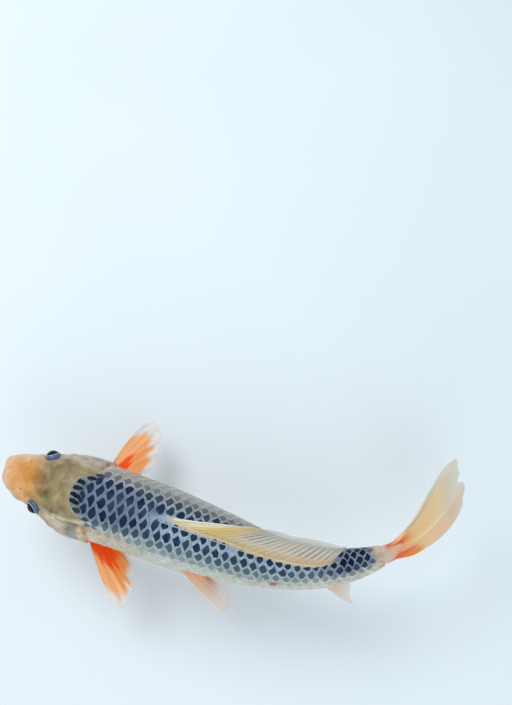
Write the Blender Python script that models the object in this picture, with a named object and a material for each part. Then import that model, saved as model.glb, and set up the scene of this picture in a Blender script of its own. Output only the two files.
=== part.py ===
"""A life-size koi carp, swimming with its tail swept to its right, on a plain display stand.

Metres, +Z up. The fish faces -X; its right side is towards +Y. The origin is the middle of the
stand's underside. Body measures are shares of STANDARD_LENGTH, from the snout to the root of the
tail fin, as fish are measured.
"""

import math

import bmesh
import bpy
import numpy as np

# ---------------------------------------------------------------- driving dimensions
STANDARD_LENGTH = 0.280
AXIS_HEIGHT = 0.078  # the body's long axis above the floor
GAP = 0.0004  # between pieces that touch
SIDES = 28  # points round the body

# The line of the body seen from above: straight, then bending ever more towards the tail.
HEADING = math.radians(-19.4)
BEND_FROM = 0.1722
BEND_TURN = math.radians(75.3)  # the whole turn at BEND_TO
BEND_TO = 0.330
BEND_POWER = 1.27
STAND_AT = 0.105  # the place on the body's line that stands over the origin
ROLL_FROM, ROLL_TO = 0.60, 1.0  # where the back starts to lean to its right, and where it ends
ROLL = math.radians(18)

# Where the body is parted, and where it ends
MOUTH_CUT = 0.026
HEAD_CUT = 0.232
TAIL_CUT = 0.80

# Each row is one section: along, half width, top, bottom, widest level, then how boxy the upper
# and lower halves are (1 is an ellipse, less is boxier). The first rows turn in over the lips.
SECTIONS = (
    (0.016, 0.0040, -0.0270, -0.0290, -0.028, 1.00, 1.00),
    (0.010, 0.0180, -0.0255, -0.0300, -0.028, 1.00, 1.00),
    (0.002, 0.0200, -0.0230, -0.0325, -0.028, 1.00, 1.00),
    (-0.001, 0.0220, -0.0175, -0.0380, -0.028, 0.95, 1.00),
    (0.003, 0.0265, -0.0090, -0.0450, -0.028, 0.90, 1.00),
    (0.011, 0.0335, 0.0020, -0.0515, -0.027, 0.88, 1.00),
    (0.030, 0.0445, 0.0200, -0.0605, -0.024, 0.86, 1.00),
    (0.063, 0.0575, 0.0440, -0.0730, -0.018, 0.84, 1.00),
    (0.100, 0.0705, 0.0660, -0.0840, -0.014, 0.82, 1.00),
    (0.146, 0.0860, 0.0885, -0.0955, -0.012, 0.82, 1.00),
    (0.187, 0.0945, 0.1045, -0.1045, -0.012, 0.84, 0.98),
    (0.230, 0.0965, 0.1180, -0.1110, -0.010, 0.86, 0.96),
    (0.290, 0.0945, 0.1340, -0.1180, -0.006, 0.90, 0.95),
    (0.350, 0.0935, 0.1440, -0.1220, -0.004, 0.93, 0.95),
    (0.420, 0.0920, 0.1480, -0.1240, -0.002, 0.95, 0.95),
    (0.500, 0.0860, 0.1410, -0.1200, 0.000, 0.95, 0.95),
    (0.580, 0.0780, 0.1280, -0.1120, 0.001, 0.96, 0.96),
    (0.660, 0.0680, 0.1100, -0.1000, 0.002, 0.98, 0.98),
    (0.740, 0.0570, 0.0900, -0.0860, 0.002, 1.00, 1.00),
    (0.820, 0.0470, 0.0710, -0.0700, 0.001, 1.00, 1.00),
    (0.890, 0.0370, 0.0580, -0.0580, 0.000, 1.00, 1.00),
    (0.950, 0.0240, 0.0540, -0.0550, 0.000, 1.00, 1.00),
    (1.000, 0.0090, 0.0570, -0.0590, 0.000, 1.00, 1.00),
)
ROW_ALONG = [row[0] for row in SECTIONS]
FRONT_ROW = 4  # from this row back, the sections run steadily towards the tail

EYE_ALONG = 0.112
EYE_LEVEL = 0.038
EYE_RADIUS = 0.0056
EYE_PROUD = 0.0032  # how far the eye stands out of the cheek

MATERIALS = {
    "skin": ((0.62, 0.56, 0.42), 0.35, 0.0),
    "back": ((0.16, 0.22, 0.34), 0.35, 0.0),
    "snout": ((0.80, 0.55, 0.32), 0.35, 0.0),
    "eye": ((0.03, 0.04, 0.06), 0.08, 0.0),
    "red_fin": ((0.95, 0.38, 0.12), 0.40, 0.0),
    "pale_fin": ((0.82, 0.70, 0.50), 0.40, 0.0),
    "stand_board": ((0.88, 0.88, 0.86), 0.30, 0.0),
    "stand_steel": ((0.62, 0.63, 0.65), 0.25, 1.0),
}


# ---------------------------------------------------------------- numbers
def smooth_between(at, places, values):
    """The smooth curve through (places, values), each slope taken from the two neighbours."""
    places = np.asarray(places, float)
    values = np.asarray(values, float)
    slopes = np.gradient(values, places, axis=0)
    at = float(np.clip(at, places[0], places[-1]))
    i = int(np.clip(np.searchsorted(places, at, side="right") - 1, 0, len(places) - 2))
    step = places[i + 1] - places[i]
    x = (at - places[i]) / step
    return (
        values[i] * (1 + 2 * x) * (1 - x) ** 2
        + slopes[i] * step * x * (1 - x) ** 2
        + values[i + 1] * x * x * (3 - 2 * x)
        + slopes[i + 1] * step * x * x * (x - 1)
    )


def along_table(at, table):
    """The value at a place in a table of (place, value) pairs."""
    places, values = zip(*table)
    return float(smooth_between(at, places, values))


def ease(x):
    x = min(max(x, 0.0), 1.0)
    return x * x * (3 - 2 * x)


def unit(vector):
    vector = np.asarray(vector, float)
    return vector / np.linalg.norm(vector)


# ---------------------------------------------------------------- the body's line and skin
def heading(s):
    share = max(s - BEND_FROM, 0.0) / (BEND_TO - BEND_FROM)
    return HEADING + BEND_TURN * share**BEND_POWER


def spine(s, steps=160):
    """The body's line at s metres behind the snout."""
    places = np.linspace(STAND_AT, s, steps + 1)
    middles = (places[:-1] + places[1:]) / 2
    angles = np.array([heading(m) for m in middles])
    step = (s - STAND_AT) / steps
    return np.array([np.cos(angles).sum() * step, np.sin(angles).sum() * step, AXIS_HEIGHT])


UP = np.array([0.0, 0.0, 1.0])


def level_directions(s):
    """Towards the tail, and level towards the fish's right side, at s."""
    angle = heading(s)
    back = np.array([math.cos(angle), math.sin(angle), 0.0])
    right = np.array([-math.sin(angle), math.cos(angle), 0.0])
    return back, right


def directions(s):
    """Towards the tail, the fish's right side and its back, at s."""
    back, right = level_directions(s)
    share = (s / STANDARD_LENGTH - ROLL_FROM) / (ROLL_TO - ROLL_FROM)
    roll = ROLL * ease(share)
    up = UP * math.cos(roll) + right * math.sin(roll)
    return back, right * math.cos(roll) - UP * math.sin(roll), up


def row_at(along):
    """Where along the table of sections the body reaches this share of its length."""
    return float(np.interp(along, ROW_ALONG[FRONT_ROW:], range(FRONT_ROW, len(SECTIONS))))


def section_values(row):
    return smooth_between(row, range(len(SECTIONS)), SECTIONS)


def on_section(values, angle):
    """The point of a section at an angle from its top towards the right side."""
    along, width, top, bottom, level, boxy_top, boxy_bottom = values
    sine, cosine = math.sin(angle), math.cos(angle)
    upper = cosine >= 0
    power = boxy_top if upper else boxy_bottom
    height = top - level if upper else level - bottom
    side = math.copysign(abs(sine) ** power, sine) * width
    lift = level + math.copysign(abs(cosine) ** power, cosine) * height
    s = along * STANDARD_LENGTH
    right, up = directions(s)[1:]
    return spine(s) + (right * side + up * lift) * STANDARD_LENGTH


def on_skin(along, angle):
    return on_section(section_values(row_at(along)), angle)


def skin_normal(along, angle, step=0.004):
    """The outward direction of the skin."""
    lengthwise = on_skin(along + step, angle) - on_skin(along - step, angle)
    around = on_skin(along, angle + step) - on_skin(along, angle - step)
    return unit(np.cross(lengthwise, around))


# ---------------------------------------------------------------- making solids
def material(name):
    made = bpy.data.materials.get(name)
    if made is None:
        colour, roughness, metallic = MATERIALS[name]
        made = bpy.data.materials.new(name)
        made.use_nodes = True
        shader = made.node_tree.nodes["Principled BSDF"]
        shader.inputs["Base Color"].default_value = (*colour, 1.0)
        shader.inputs["Roughness"].default_value = roughness
        shader.inputs["Metallic"].default_value = metallic
    return made


def solid(name, points, faces, look):
    mesh = bpy.data.meshes.new(name)
    mesh.from_pydata([tuple(p) for p in points], [], faces)
    shape = bmesh.new()
    shape.from_mesh(mesh)
    bmesh.ops.recalc_face_normals(shape, faces=shape.faces)
    shape.to_mesh(mesh)
    shape.free()
    mesh.shade_smooth()
    mesh.materials.append(material(look))
    made = bpy.data.objects.new(name, mesh)
    bpy.context.scene.collection.objects.link(made)
    return made


def loft(name, rings, look):
    """A closed body through rings of points, with a flat face over each end ring."""
    count = len(rings[0])
    points = [p for ring in rings for p in ring]
    faces = [
        (
            r * count + i,
            (r + 1) * count + i,
            (r + 1) * count + (i + 1) % count,
            r * count + (i + 1) % count,
        )
        for r in range(len(rings) - 1)
        for i in range(count)
    ]
    last = (len(rings) - 1) * count
    faces.append(tuple(range(count)))
    faces.append(tuple(last + i for i in range(count)))
    return solid(name, points, faces, look)


def body_length(name, rows, look):
    """A length of the body through these rows of the table of sections."""
    turns = [2 * math.pi * i / SIDES for i in range(SIDES)]
    return loft(name, [[on_section(section_values(r), a) for a in turns] for r in rows], look)


def sheet(name, grid, thickness, look):
    """A closed plate about a grid of points, as thick as thickness(u, v) says."""
    grid = np.asarray(grid, float)
    across = np.gradient(grid, axis=0)
    outward = np.gradient(grid, axis=1)
    normals = np.cross(across, outward)
    normals /= np.linalg.norm(normals, axis=2, keepdims=True)
    rows, columns = grid.shape[:2]
    half = np.array(
        [
            [thickness(i / (rows - 1), j / (columns - 1)) / 2 for j in range(columns)]
            for i in range(rows)
        ]
    )[:, :, None]
    layer = rows * columns
    points = np.concatenate(
        [(grid + normals * half).reshape(-1, 3), (grid - normals * half).reshape(-1, 3)]
    )
    faces = []
    for i in range(rows - 1):
        for j in range(columns - 1):
            a, b = i * columns + j, (i + 1) * columns + j
            faces.append((a, b, b + 1, a + 1))
            faces.append((layer + a, layer + a + 1, layer + b + 1, layer + b))
    rim = [j for j in range(columns)]
    rim += [i * columns + columns - 1 for i in range(1, rows)]
    rim += [(rows - 1) * columns + j for j in reversed(range(columns - 1))]
    rim += [i * columns for i in reversed(range(1, rows - 1))]
    for a, b in zip(rim, rim[1:] + rim[:1]):
        faces.append((a, a + layer, b + layer, b))
    return solid(name, points, faces, look)


def cut(target, cutter):
    """Takes the cutter's shape out of the target, and hides the cutter."""
    modifier = target.modifiers.new("Cut", "BOOLEAN")
    modifier.operation = "DIFFERENCE"
    modifier.object = cutter
    cutter.hide_render = True
    cutter.display_type = "WIRE"


# ---------------------------------------------------------------- head and body
def steps_between(first, last, count):
    return list(np.linspace(first, last, count))


def make_body():
    mouth_rows = [0, 1, 2, 2.5, 3, 3.5, 4, 4.5, 5, row_at(MOUTH_CUT)]
    gap = GAP / STANDARD_LENGTH
    head_rows = steps_between(row_at(MOUTH_CUT + gap), row_at(HEAD_CUT), 12)
    trunk_rows = steps_between(row_at(HEAD_CUT + gap), row_at(TAIL_CUT), 18)
    tail_rows = steps_between(row_at(TAIL_CUT + gap), row_at(1.0), 8)
    body_length("mouth", mouth_rows, "snout")
    head = body_length("head", head_rows, "skin")
    trunk = body_length("trunk", trunk_rows, "back")
    body_length("tail_stalk", tail_rows, "back")
    return head, trunk


def skin_patch(name, middle, reach, inner, outer, look, grow=0.0, around=24, rings=4):
    """A rounded plate lying in the skin, from inner below it to outer above it.

    middle and reach are (along, angle); its edge leans back towards the belly.
    """
    points = []
    for depth in (outer, inner):
        points.append((middle[0], middle[1], depth))
        for ring in range(1, rings + 1):
            share = ring / rings
            for i in range(around):
                turn = 2 * math.pi * i / around
                along = math.copysign(abs(math.cos(turn)) ** 0.8, math.cos(turn))
                angle = math.copysign(abs(math.sin(turn)) ** 0.8, math.sin(turn))
                place = middle[0] + share * (reach[0] + grow) * along
                place += GILL_SLANT * share * angle
                wide = reach[1] + math.copysign(grow * 9, reach[1])
                points.append((place, middle[1] + share * wide * angle, depth))
    placed = [on_skin(a, b) + skin_normal(a, b) * d for a, b, d in points]
    layer = 1 + rings * around
    faces = []
    for i in range(around):
        j = (i + 1) % around
        faces.append((0, 1 + i, 1 + j))
        faces.append((layer, layer + 1 + j, layer + 1 + i))
        for ring in range(rings - 1):
            a, b = 1 + ring * around, 1 + (ring + 1) * around
            faces.append((a + i, b + i, b + j, a + j))
            faces.append((layer + a + i, layer + a + j, layer + b + j, layer + b + i))
        edge = 1 + (rings - 1) * around
        faces.append((edge + i, layer + edge + i, layer + edge + j, edge + j))
    return solid(name, placed, faces, look)


GILL_MIDDLE = (0.203, math.radians(93))
GILL_REACH = (0.056, math.radians(47))
GILL_SLANT = 0.004
GILL_DEPTH = 0.0022
GILL_PROUD = 0.0011


def make_gill_covers(head, trunk):
    for side, sign in (("left", -1), ("right", 1)):
        middle = (GILL_MIDDLE[0], sign * GILL_MIDDLE[1])
        reach = (GILL_REACH[0], sign * GILL_REACH[1])
        skin_patch(f"gill_cover_{side}", middle, reach, -GILL_DEPTH, GILL_PROUD, "skin")
        cutter = skin_patch(
            f"cut_gill_{side}",
            middle,
            reach,
            -GILL_DEPTH - GAP,
            4 * GILL_DEPTH,
            "skin",
            grow=1.5 * GAP / STANDARD_LENGTH,
        )
        cut(head, cutter)
        cut(trunk, cutter)


def eye_centre(sign):
    level_angle = math.acos(EYE_LEVEL / 0.075)
    place = on_skin(EYE_ALONG, sign * level_angle)
    normal = skin_normal(EYE_ALONG, sign * level_angle)
    return place - normal * (EYE_RADIUS - EYE_PROUD)


def ball(name, centre, radius, look, rings=10, around=18):
    points = [centre + UP * radius]
    for ring in range(1, rings):
        down = math.pi * ring / rings
        for i in range(around):
            turn = 2 * math.pi * i / around
            offset = (
                math.sin(down) * math.cos(turn),
                math.sin(down) * math.sin(turn),
                math.cos(down),
            )
            points.append(centre + np.array(offset) * radius)
    points.append(centre - UP * radius)
    faces = []
    last = len(points) - 1
    for i in range(around):
        j = (i + 1) % around
        faces.append((0, 1 + i, 1 + j))
        faces.append((last, last - around + j, last - around + i))
        for ring in range(rings - 2):
            a = 1 + ring * around
            faces.append((a + i, a + around + i, a + around + j, a + j))
    return solid(name, points, faces, look)


def make_eyes(head):
    for side, sign in (("left", -1), ("right", 1)):
        centre = eye_centre(sign)
        ball(f"eye_{side}", centre, EYE_RADIUS, "eye")
        cut(head, ball(f"cut_eye_{side}", centre, EYE_RADIUS + GAP, "eye"))


# name, place along, angle from the top, length, thickness at the root
BARBELS = (
    ("upper", 0.016, math.radians(116), 0.0060, 0.0012),
    ("lower", 0.036, math.radians(126), 0.0105, 0.0016),
)


def make_barbels():
    for kind, along, angle, length, thickness in BARBELS:
        for side, sign in (("left", -1), ("right", 1)):
            back = directions(along * STANDARD_LENGTH)[0]
            normal = skin_normal(along, sign * angle)
            point = on_skin(along, sign * angle) + normal * GAP * 1.2
            step = length / 6
            rings = []
            for i in range(7):
                share = i / 6
                way = unit(normal + back * 0.9 * share - UP * 1.3 * share)
                aside = unit(np.cross(way, UP))
                other = np.cross(way, aside)
                radius = thickness / 2 * (1 - 0.55 * share)
                turns = [2 * math.pi * k / 7 for k in range(7)]
                rings.append(
                    [point + (aside * math.cos(t) + other * math.sin(t)) * radius for t in turns]
                )
                point = point + way * step
            loft(f"barbel_{kind}_{side}", rings, "snout")


# ---------------------------------------------------------------- fins
def grow_ray(root, out, back, over, length, rake, lean, steps=7, upright=0.15, sweep=0.0):
    """The points of one fin ray.

    It leaves along out, turned rake towards back; it leans towards over once it is clear of
    the body, and its rake grows by sweep on the way to its tip.
    """
    points = [np.asarray(root, float)]
    for i in range(steps):
        share = (i + 0.5) / steps
        turned = rake + sweep * share
        leant = lean * ease(share / upright) if upright else lean
        way = math.cos(turned) * (math.cos(leant) * out + math.sin(leant) * over)
        way = way + math.sin(turned) * back
        points.append(points[-1] + way * length / steps)
    return points


def fin_thickness(root, tip):
    """Thick at the root, thin at the edge."""
    return lambda across, outward: root + (tip - root) * math.sqrt(outward)


FIN_EDGE = 0.0006

# Across each fin, from its front ray to its last: (share across, value)
DORSAL_FROM, DORSAL_TO = 0.418, 0.825
DORSAL_LENGTH = ((0, 0.162), (0.06, 0.180), (0.2, 0.157), (0.5, 0.117), (0.8, 0.091), (1, 0.064))
DORSAL_RAKE = ((0, 75), (0.1, 71), (0.3, 62), (0.6, 50), (1, 44))
DORSAL_LEAN = ((0, 52), (0.3, 56), (0.6, 60), (0.85, 50), (1, 38))

ANAL_FROM, ANAL_TO = 0.770, 0.850
ANAL_LENGTH = ((0, 0.125), (0.15, 0.145), (0.5, 0.105), (1, 0.050))
ANAL_RAKE = ((0, 52), (1, 40))
ANAL_LEAN = 50

PECTORAL_LENGTH = ((0, 0.180), (0.12, 0.204), (0.30, 0.196), (0.7, 0.136), (1, 0.084))
PECTORAL_ROOT = ((0.243, 134), (0.276, 146))  # (along, angle) of the first and the last ray
PELVIC_LENGTH = ((0, 0.202), (0.15, 0.208), (0.6, 0.162), (1, 0.108))
PELVIC_ROOT = ((0.435, 146), (0.468, 158))
# side: rake of the first and the last ray, droop, and how much further back a ray has turned at
# its tip, in degrees
PECTORAL_POSE = {"left": (30, 58, 14, 14), "right": (-4, 24, 30, 24)}
PELVIC_POSE = {"left": (52, 76, 14, 14), "right": (66, 82, 66, 14)}

TAIL_REACH = 0.279
TAIL_LENGTH_UPPER = (
    (0, 0.150), (0.04, 0.222), (0.09, 0.258), (0.15, 0.275), (0.22, 0.279), (0.33, 0.264), (0.5, 0.228)
)
TAIL_LENGTH_LOWER = (
    (0, 0.140), (0.04, 0.196), (0.09, 0.226), (0.15, 0.242), (0.22, 0.249), (0.33, 0.246), (0.5, 0.228)
)
TAIL_SPREAD = math.radians(24)
# How far the two lobes lean over, in degrees, at shares of the fin's length
TAIL_LEAN_UPPER = ((0, 18), (0.25, 25), (0.5, 30), (0.75, 29), (1, 23))
TAIL_LEAN_LOWER = ((0, 20), (0.15, 26), (0.3, 26), (0.5, 26), (0.75, 22), (1, 13))


def make_dorsal_fin():
    rays = []
    for i in range(21):
        share = i / 20
        along = DORSAL_FROM + (DORSAL_TO - DORSAL_FROM) * share
        back, right, up = directions(along * STANDARD_LENGTH)
        root = on_skin(along, 0.0) + up * GAP * 1.5
        length = along_table(share, DORSAL_LENGTH) * STANDARD_LENGTH
        rake = math.radians(along_table(share, DORSAL_RAKE))
        lean = math.radians(along_table(share, DORSAL_LEAN))
        rays.append(grow_ray(root, up, back, right, length, rake, lean, upright=0.12))
    sheet("dorsal_fin", rays, fin_thickness(0.0018, FIN_EDGE), "pale_fin")


def make_anal_fin():
    rays = []
    for i in range(9):
        share = i / 8
        along = ANAL_FROM + (ANAL_TO - ANAL_FROM) * share
        back, right, up = directions(along * STANDARD_LENGTH)
        root = on_skin(along, math.pi) - up * GAP * 1.5
        length = along_table(share, ANAL_LENGTH) * STANDARD_LENGTH
        rake = math.radians(along_table(share, ANAL_RAKE))
        lean = math.radians(ANAL_LEAN)
        rays.append(grow_ray(root, -up, back, -right, length, rake, lean, upright=0.4))
    sheet("anal_fin", rays, fin_thickness(0.0018, FIN_EDGE), "pale_fin")


def paired_fin(name, side, root, lengths, pose, count, look):
    """A pectoral or pelvic fin, spread from a short root on the lower side of the body."""
    sign = -1 if side == "left" else 1
    first, last, droop, sweep = (math.radians(a) for a in pose[side])
    rays = []
    for i in range(count):
        share = i / (count - 1)
        along = root[0][0] + (root[1][0] - root[0][0]) * share
        angle = sign * math.radians(root[0][1] + (root[1][1] - root[0][1]) * share)
        back, right = level_directions(along * STANDARD_LENGTH)
        outward = right * sign
        start = on_skin(along, angle) + skin_normal(along, angle) * GAP * 3
        length = along_table(share, lengths) * STANDARD_LENGTH
        rake = first + (last - first) * share
        rays.append(
            grow_ray(start, outward, back, -UP, length, rake, droop, upright=0.0, sweep=sweep)
        )
    sheet(f"{name}_{side}", rays, fin_thickness(0.0022, FIN_EDGE), look)


def make_tail_fin():
    """The forked tail fin, whose rays run on along the body's line."""
    count, steps = 21, 8
    start = STANDARD_LENGTH + GAP * 1.5
    full = TAIL_REACH * STANDARD_LENGTH
    rays = []
    for i in range(count):
        across = 2 * i / (count - 1) - 1  # 1 is the upper edge, -1 the lower
        share = (1 - abs(across)) / 2
        lengths = TAIL_LENGTH_UPPER if across > 0 else TAIL_LENGTH_LOWER
        length = along_table(share, lengths) * STANDARD_LENGTH
        low, high = -0.056 * STANDARD_LENGTH, 0.054 * STANDARD_LENGTH
        root_level = low + (high - low) * (across + 1) / 2
        spread = TAIL_SPREAD * across
        ray = []
        for k in range(steps + 1):
            reach = length * k / steps
            s = start + reach * math.cos(spread)
            level = root_level + reach * math.sin(spread) * (1.15 - 0.25 * reach / full)
            leans = TAIL_LEAN_UPPER if level > 0 else TAIL_LEAN_LOWER
            lean = math.radians(along_table(reach / full, leans))
            right = level_directions(s)[1]
            ray.append(spine(s) + (UP * math.cos(lean) + right * math.sin(lean)) * level)
        rays.append(ray)
    sheet("tail_fin", rays, fin_thickness(0.0018, FIN_EDGE), "pale_fin")


def make_fins():
    make_dorsal_fin()
    make_anal_fin()
    make_tail_fin()
    for side in ("left", "right"):
        paired_fin(
            "pectoral_fin", side, PECTORAL_ROOT, PECTORAL_LENGTH, PECTORAL_POSE, 13, "red_fin"
        )
        paired_fin("pelvic_fin", side, PELVIC_ROOT, PELVIC_LENGTH, PELVIC_POSE, 9, "red_fin")


# ---------------------------------------------------------------- the stand
BOARD_LENGTH = 0.125
BOARD_WIDTH = 0.056
BOARD_THICKNESS = 0.008
BOARD_BEVEL = 0.0012
ROD_RADIUS = 0.0025
ROD_PLACES = (0.265, 0.485)  # shares of the standard length
ROD_DEPTH = 0.012  # how far a rod runs up into the body


def rounded_outline(length, width, corner_points=10):
    """A flat shape with half-round ends, along +X."""
    radius = width / 2
    straight = length / 2 - radius
    outline = []
    for end in (1, -1):
        for i in range(corner_points + 1):
            turn = math.pi * (i / corner_points - 0.5)
            x = straight + radius * math.cos(turn)
            outline.append((end * x, end * radius * math.sin(turn)))
    return outline


def make_stand(trunk):
    cosine, sine = math.cos(HEADING), math.sin(HEADING)

    def ring(inset, height):
        flat = rounded_outline(BOARD_LENGTH - 2 * inset, BOARD_WIDTH - 2 * inset)
        return [(x * cosine - y * sine, x * sine + y * cosine, height) for x, y in flat]

    loft(
        "stand_base",
        [
            ring(0.0, 0.0),
            ring(0.0, BOARD_THICKNESS - BOARD_BEVEL),
            ring(BOARD_BEVEL, BOARD_THICKNESS),
        ],
        "stand_board",
    )
    for name, along in zip(("front", "rear"), ROD_PLACES):
        belly = on_skin(along, math.pi)
        top = belly[2] + ROD_DEPTH
        rod(f"stand_rod_{name}", belly, BOARD_THICKNESS + GAP, top, ROD_RADIUS)
        socket = rod(
            f"cut_rod_{name}", belly, BOARD_THICKNESS + GAP, top + GAP, ROD_RADIUS + GAP
        )
        cut(trunk, socket)


def rod(name, place, low, high, radius, around=20):
    turns = [2 * math.pi * i / around for i in range(around)]

    def ring(size, height):
        return [
            (place[0] + size * math.cos(t), place[1] + size * math.sin(t), height)
            for t in turns
        ]

    return loft(name, [ring(radius, low), ring(radius, high)], "stand_steel")


def clear_scene():
    for old in list(bpy.data.objects):
        bpy.data.objects.remove(old)


clear_scene()
the_head, the_trunk = make_body()
make_gill_covers(the_head, the_trunk)
make_eyes(the_head)
make_barbels()
make_fins()
make_stand(the_trunk)
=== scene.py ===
"""A life-size asagi koi on a display stand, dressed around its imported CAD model.

Metres, +Z up, the snout towards -X. The body's line and sections repeat the named measures of the
CAD source, so that the fine skin, the scales and the fins lie exactly where its solids are. "along"
is a share of the body's length from the snout. An angle turns from the middle of the back, and is
plus on the fish's right side.
"""

import math

import bpy
import numpy as np
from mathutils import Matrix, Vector


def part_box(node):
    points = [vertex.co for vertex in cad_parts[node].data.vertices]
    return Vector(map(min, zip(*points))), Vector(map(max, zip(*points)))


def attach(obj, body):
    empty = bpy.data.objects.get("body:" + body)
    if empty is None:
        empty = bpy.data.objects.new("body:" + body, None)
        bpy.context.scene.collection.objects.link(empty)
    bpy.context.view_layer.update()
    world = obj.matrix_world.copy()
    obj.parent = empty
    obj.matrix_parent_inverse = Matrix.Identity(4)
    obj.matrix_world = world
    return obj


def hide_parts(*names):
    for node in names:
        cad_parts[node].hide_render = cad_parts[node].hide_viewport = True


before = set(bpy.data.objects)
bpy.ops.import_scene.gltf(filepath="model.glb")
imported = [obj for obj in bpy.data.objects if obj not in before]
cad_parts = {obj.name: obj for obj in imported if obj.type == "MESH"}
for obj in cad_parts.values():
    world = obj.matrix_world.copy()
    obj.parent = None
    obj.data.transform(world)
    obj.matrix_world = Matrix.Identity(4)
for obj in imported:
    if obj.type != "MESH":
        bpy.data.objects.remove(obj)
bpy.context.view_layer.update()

SEED = 20
TAU = 2 * math.pi
UP = np.array([0.0, 0.0, 1.0])
SIDES = (("left", -1), ("right", 1))

# ---------------------------------------------------------------- the body's measures
LENGTH = 0.280  # from the snout to the root of the tail fin
AXIS_HEIGHT = 0.078
HEADING = math.radians(-19.4)
BEND_FROM, BEND_TO = 0.1722, 0.330
BEND_TURN = math.radians(75.3)
BEND_POWER = 1.27
STAND_AT = 0.105
ROLL_FROM, ROLL_TO = 0.60, 1.0
ROLL = math.radians(18)

# along, half width, top, bottom, widest level, boxiness above and below
SECTIONS = np.array(
    (
        (0.016, 0.0040, -0.0270, -0.0290, -0.028, 1.00, 1.00),
        (0.010, 0.0180, -0.0255, -0.0300, -0.028, 1.00, 1.00),
        (0.002, 0.0200, -0.0230, -0.0325, -0.028, 1.00, 1.00),
        (-0.001, 0.0220, -0.0175, -0.0380, -0.028, 0.95, 1.00),
        (0.003, 0.0265, -0.0090, -0.0450, -0.028, 0.90, 1.00),
        (0.011, 0.0335, 0.0020, -0.0515, -0.027, 0.88, 1.00),
        (0.030, 0.0445, 0.0200, -0.0605, -0.024, 0.86, 1.00),
        (0.063, 0.0575, 0.0440, -0.0730, -0.018, 0.84, 1.00),
        (0.100, 0.0705, 0.0660, -0.0840, -0.014, 0.82, 1.00),
        (0.146, 0.0860, 0.0885, -0.0955, -0.012, 0.82, 1.00),
        (0.187, 0.0945, 0.1045, -0.1045, -0.012, 0.84, 0.98),
        (0.230, 0.0965, 0.1180, -0.1110, -0.010, 0.86, 0.96),
        (0.290, 0.0945, 0.1340, -0.1180, -0.006, 0.90, 0.95),
        (0.350, 0.0935, 0.1440, -0.1220, -0.004, 0.93, 0.95),
        (0.420, 0.0920, 0.1480, -0.1240, -0.002, 0.95, 0.95),
        (0.500, 0.0860, 0.1410, -0.1200, 0.000, 0.95, 0.95),
        (0.580, 0.0780, 0.1280, -0.1120, 0.001, 0.96, 0.96),
        (0.660, 0.0680, 0.1100, -0.1000, 0.002, 0.98, 0.98),
        (0.740, 0.0570, 0.0900, -0.0860, 0.002, 1.00, 1.00),
        (0.820, 0.0470, 0.0710, -0.0700, 0.001, 1.00, 1.00),
        (0.890, 0.0370, 0.0580, -0.0580, 0.000, 1.00, 1.00),
        (0.950, 0.0240, 0.0540, -0.0550, 0.000, 1.00, 1.00),
        (1.000, 0.0090, 0.0570, -0.0590, 0.000, 1.00, 1.00),
    )
)
FRONT_ROW = 4  # the first section from which along only grows
LAST_ROW = len(SECTIONS) - 1

EYE_ALONG, EYE_LEVEL = 0.112, 0.038
EYE_SPAN = 0.075  # the eye's level over this is the cosine of its angle
EYE_RADIUS, EYE_PROUD = 0.0056, 0.0032


# ---------------------------------------------------------------- numbers
def smooth_at(at, places, values):
    """The smooth curve through (places, values) at each of at; values may be rows."""
    places, values = np.asarray(places, float), np.asarray(values, float)
    slopes = np.gradient(values, places, axis=0)
    at = np.clip(np.asarray(at, float), places[0], places[-1])
    i = np.clip(np.searchsorted(places, at, side="right") - 1, 0, len(places) - 2)
    step = places[i + 1] - places[i]
    x = (at - places[i]) / step
    if values.ndim > 1:
        x, step = x[..., None], step[..., None]
    return (
        values[i] * (1 + 2 * x) * (1 - x) ** 2
        + slopes[i] * step * x * (1 - x) ** 2
        + values[i + 1] * x * x * (3 - 2 * x)
        + slopes[i + 1] * step * x * x * (x - 1)
    )


def table(at, pairs):
    """The smooth curve through pairs of place and value, at each of at."""
    return smooth_at(at, *zip(*pairs))


def part_way(span, share):
    return span[0] + (span[1] - span[0]) * share


def ease(x):
    x = np.clip(x, 0.0, 1.0)
    return x * x * (3 - 2 * x)


def between(x, low, high):
    """0 below low, 1 above high, and smooth between them."""
    return ease((x - low) / (high - low))


def fades(x, low, high):
    """1 below low, 0 above high, and smooth between them."""
    return 1 - between(x, low, high)


def window(x, low, full, fading, end):
    """Rises from low to full, falls from fading to end."""
    return between(x, low, full) * fades(x, fading, end)


def bump(distance, radius):
    return np.exp(-((distance / radius) ** 2))


def unit(vectors):
    return vectors / np.maximum(np.linalg.norm(vectors, axis=-1, keepdims=True), 1e-12)


def mix(a, b, share):
    share = np.asarray(share)[..., None]
    return np.asarray(a) * (1 - share) + np.asarray(b) * share


def laid(ground, *layers):
    """The ground colour with each layer, a colour and its share, laid over it in turn."""
    for colour, share in layers:
        ground = mix(ground, colour, share)
    return ground


def turned(angle):
    """The angle brought between minus and plus half a turn."""
    return (angle + math.pi) % TAU - math.pi


def circle(around):
    return np.linspace(0, TAU, around, endpoint=False)


# ---------------------------------------------------------------- the body's line and surface
LINE_STEPS = np.linspace(-0.02, 0.42, 4401)


def heading(s):
    share = np.maximum(s - BEND_FROM, 0.0) / (BEND_TO - BEND_FROM)
    return HEADING + BEND_TURN * share**BEND_POWER


def line_points():
    middles = (LINE_STEPS[1:] + LINE_STEPS[:-1]) / 2
    step = LINE_STEPS[1] - LINE_STEPS[0]
    for way in (np.cos, np.sin):
        sums = np.concatenate([[0], np.cumsum(way(heading(middles)))]) * step
        yield sums - np.interp(STAND_AT, LINE_STEPS, sums)


LINE_X, LINE_Y = line_points()


def spine(s):
    x, y = np.interp(s, LINE_STEPS, LINE_X), np.interp(s, LINE_STEPS, LINE_Y)
    return np.stack([x, y, np.full_like(x, AXIS_HEIGHT)], -1)


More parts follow.
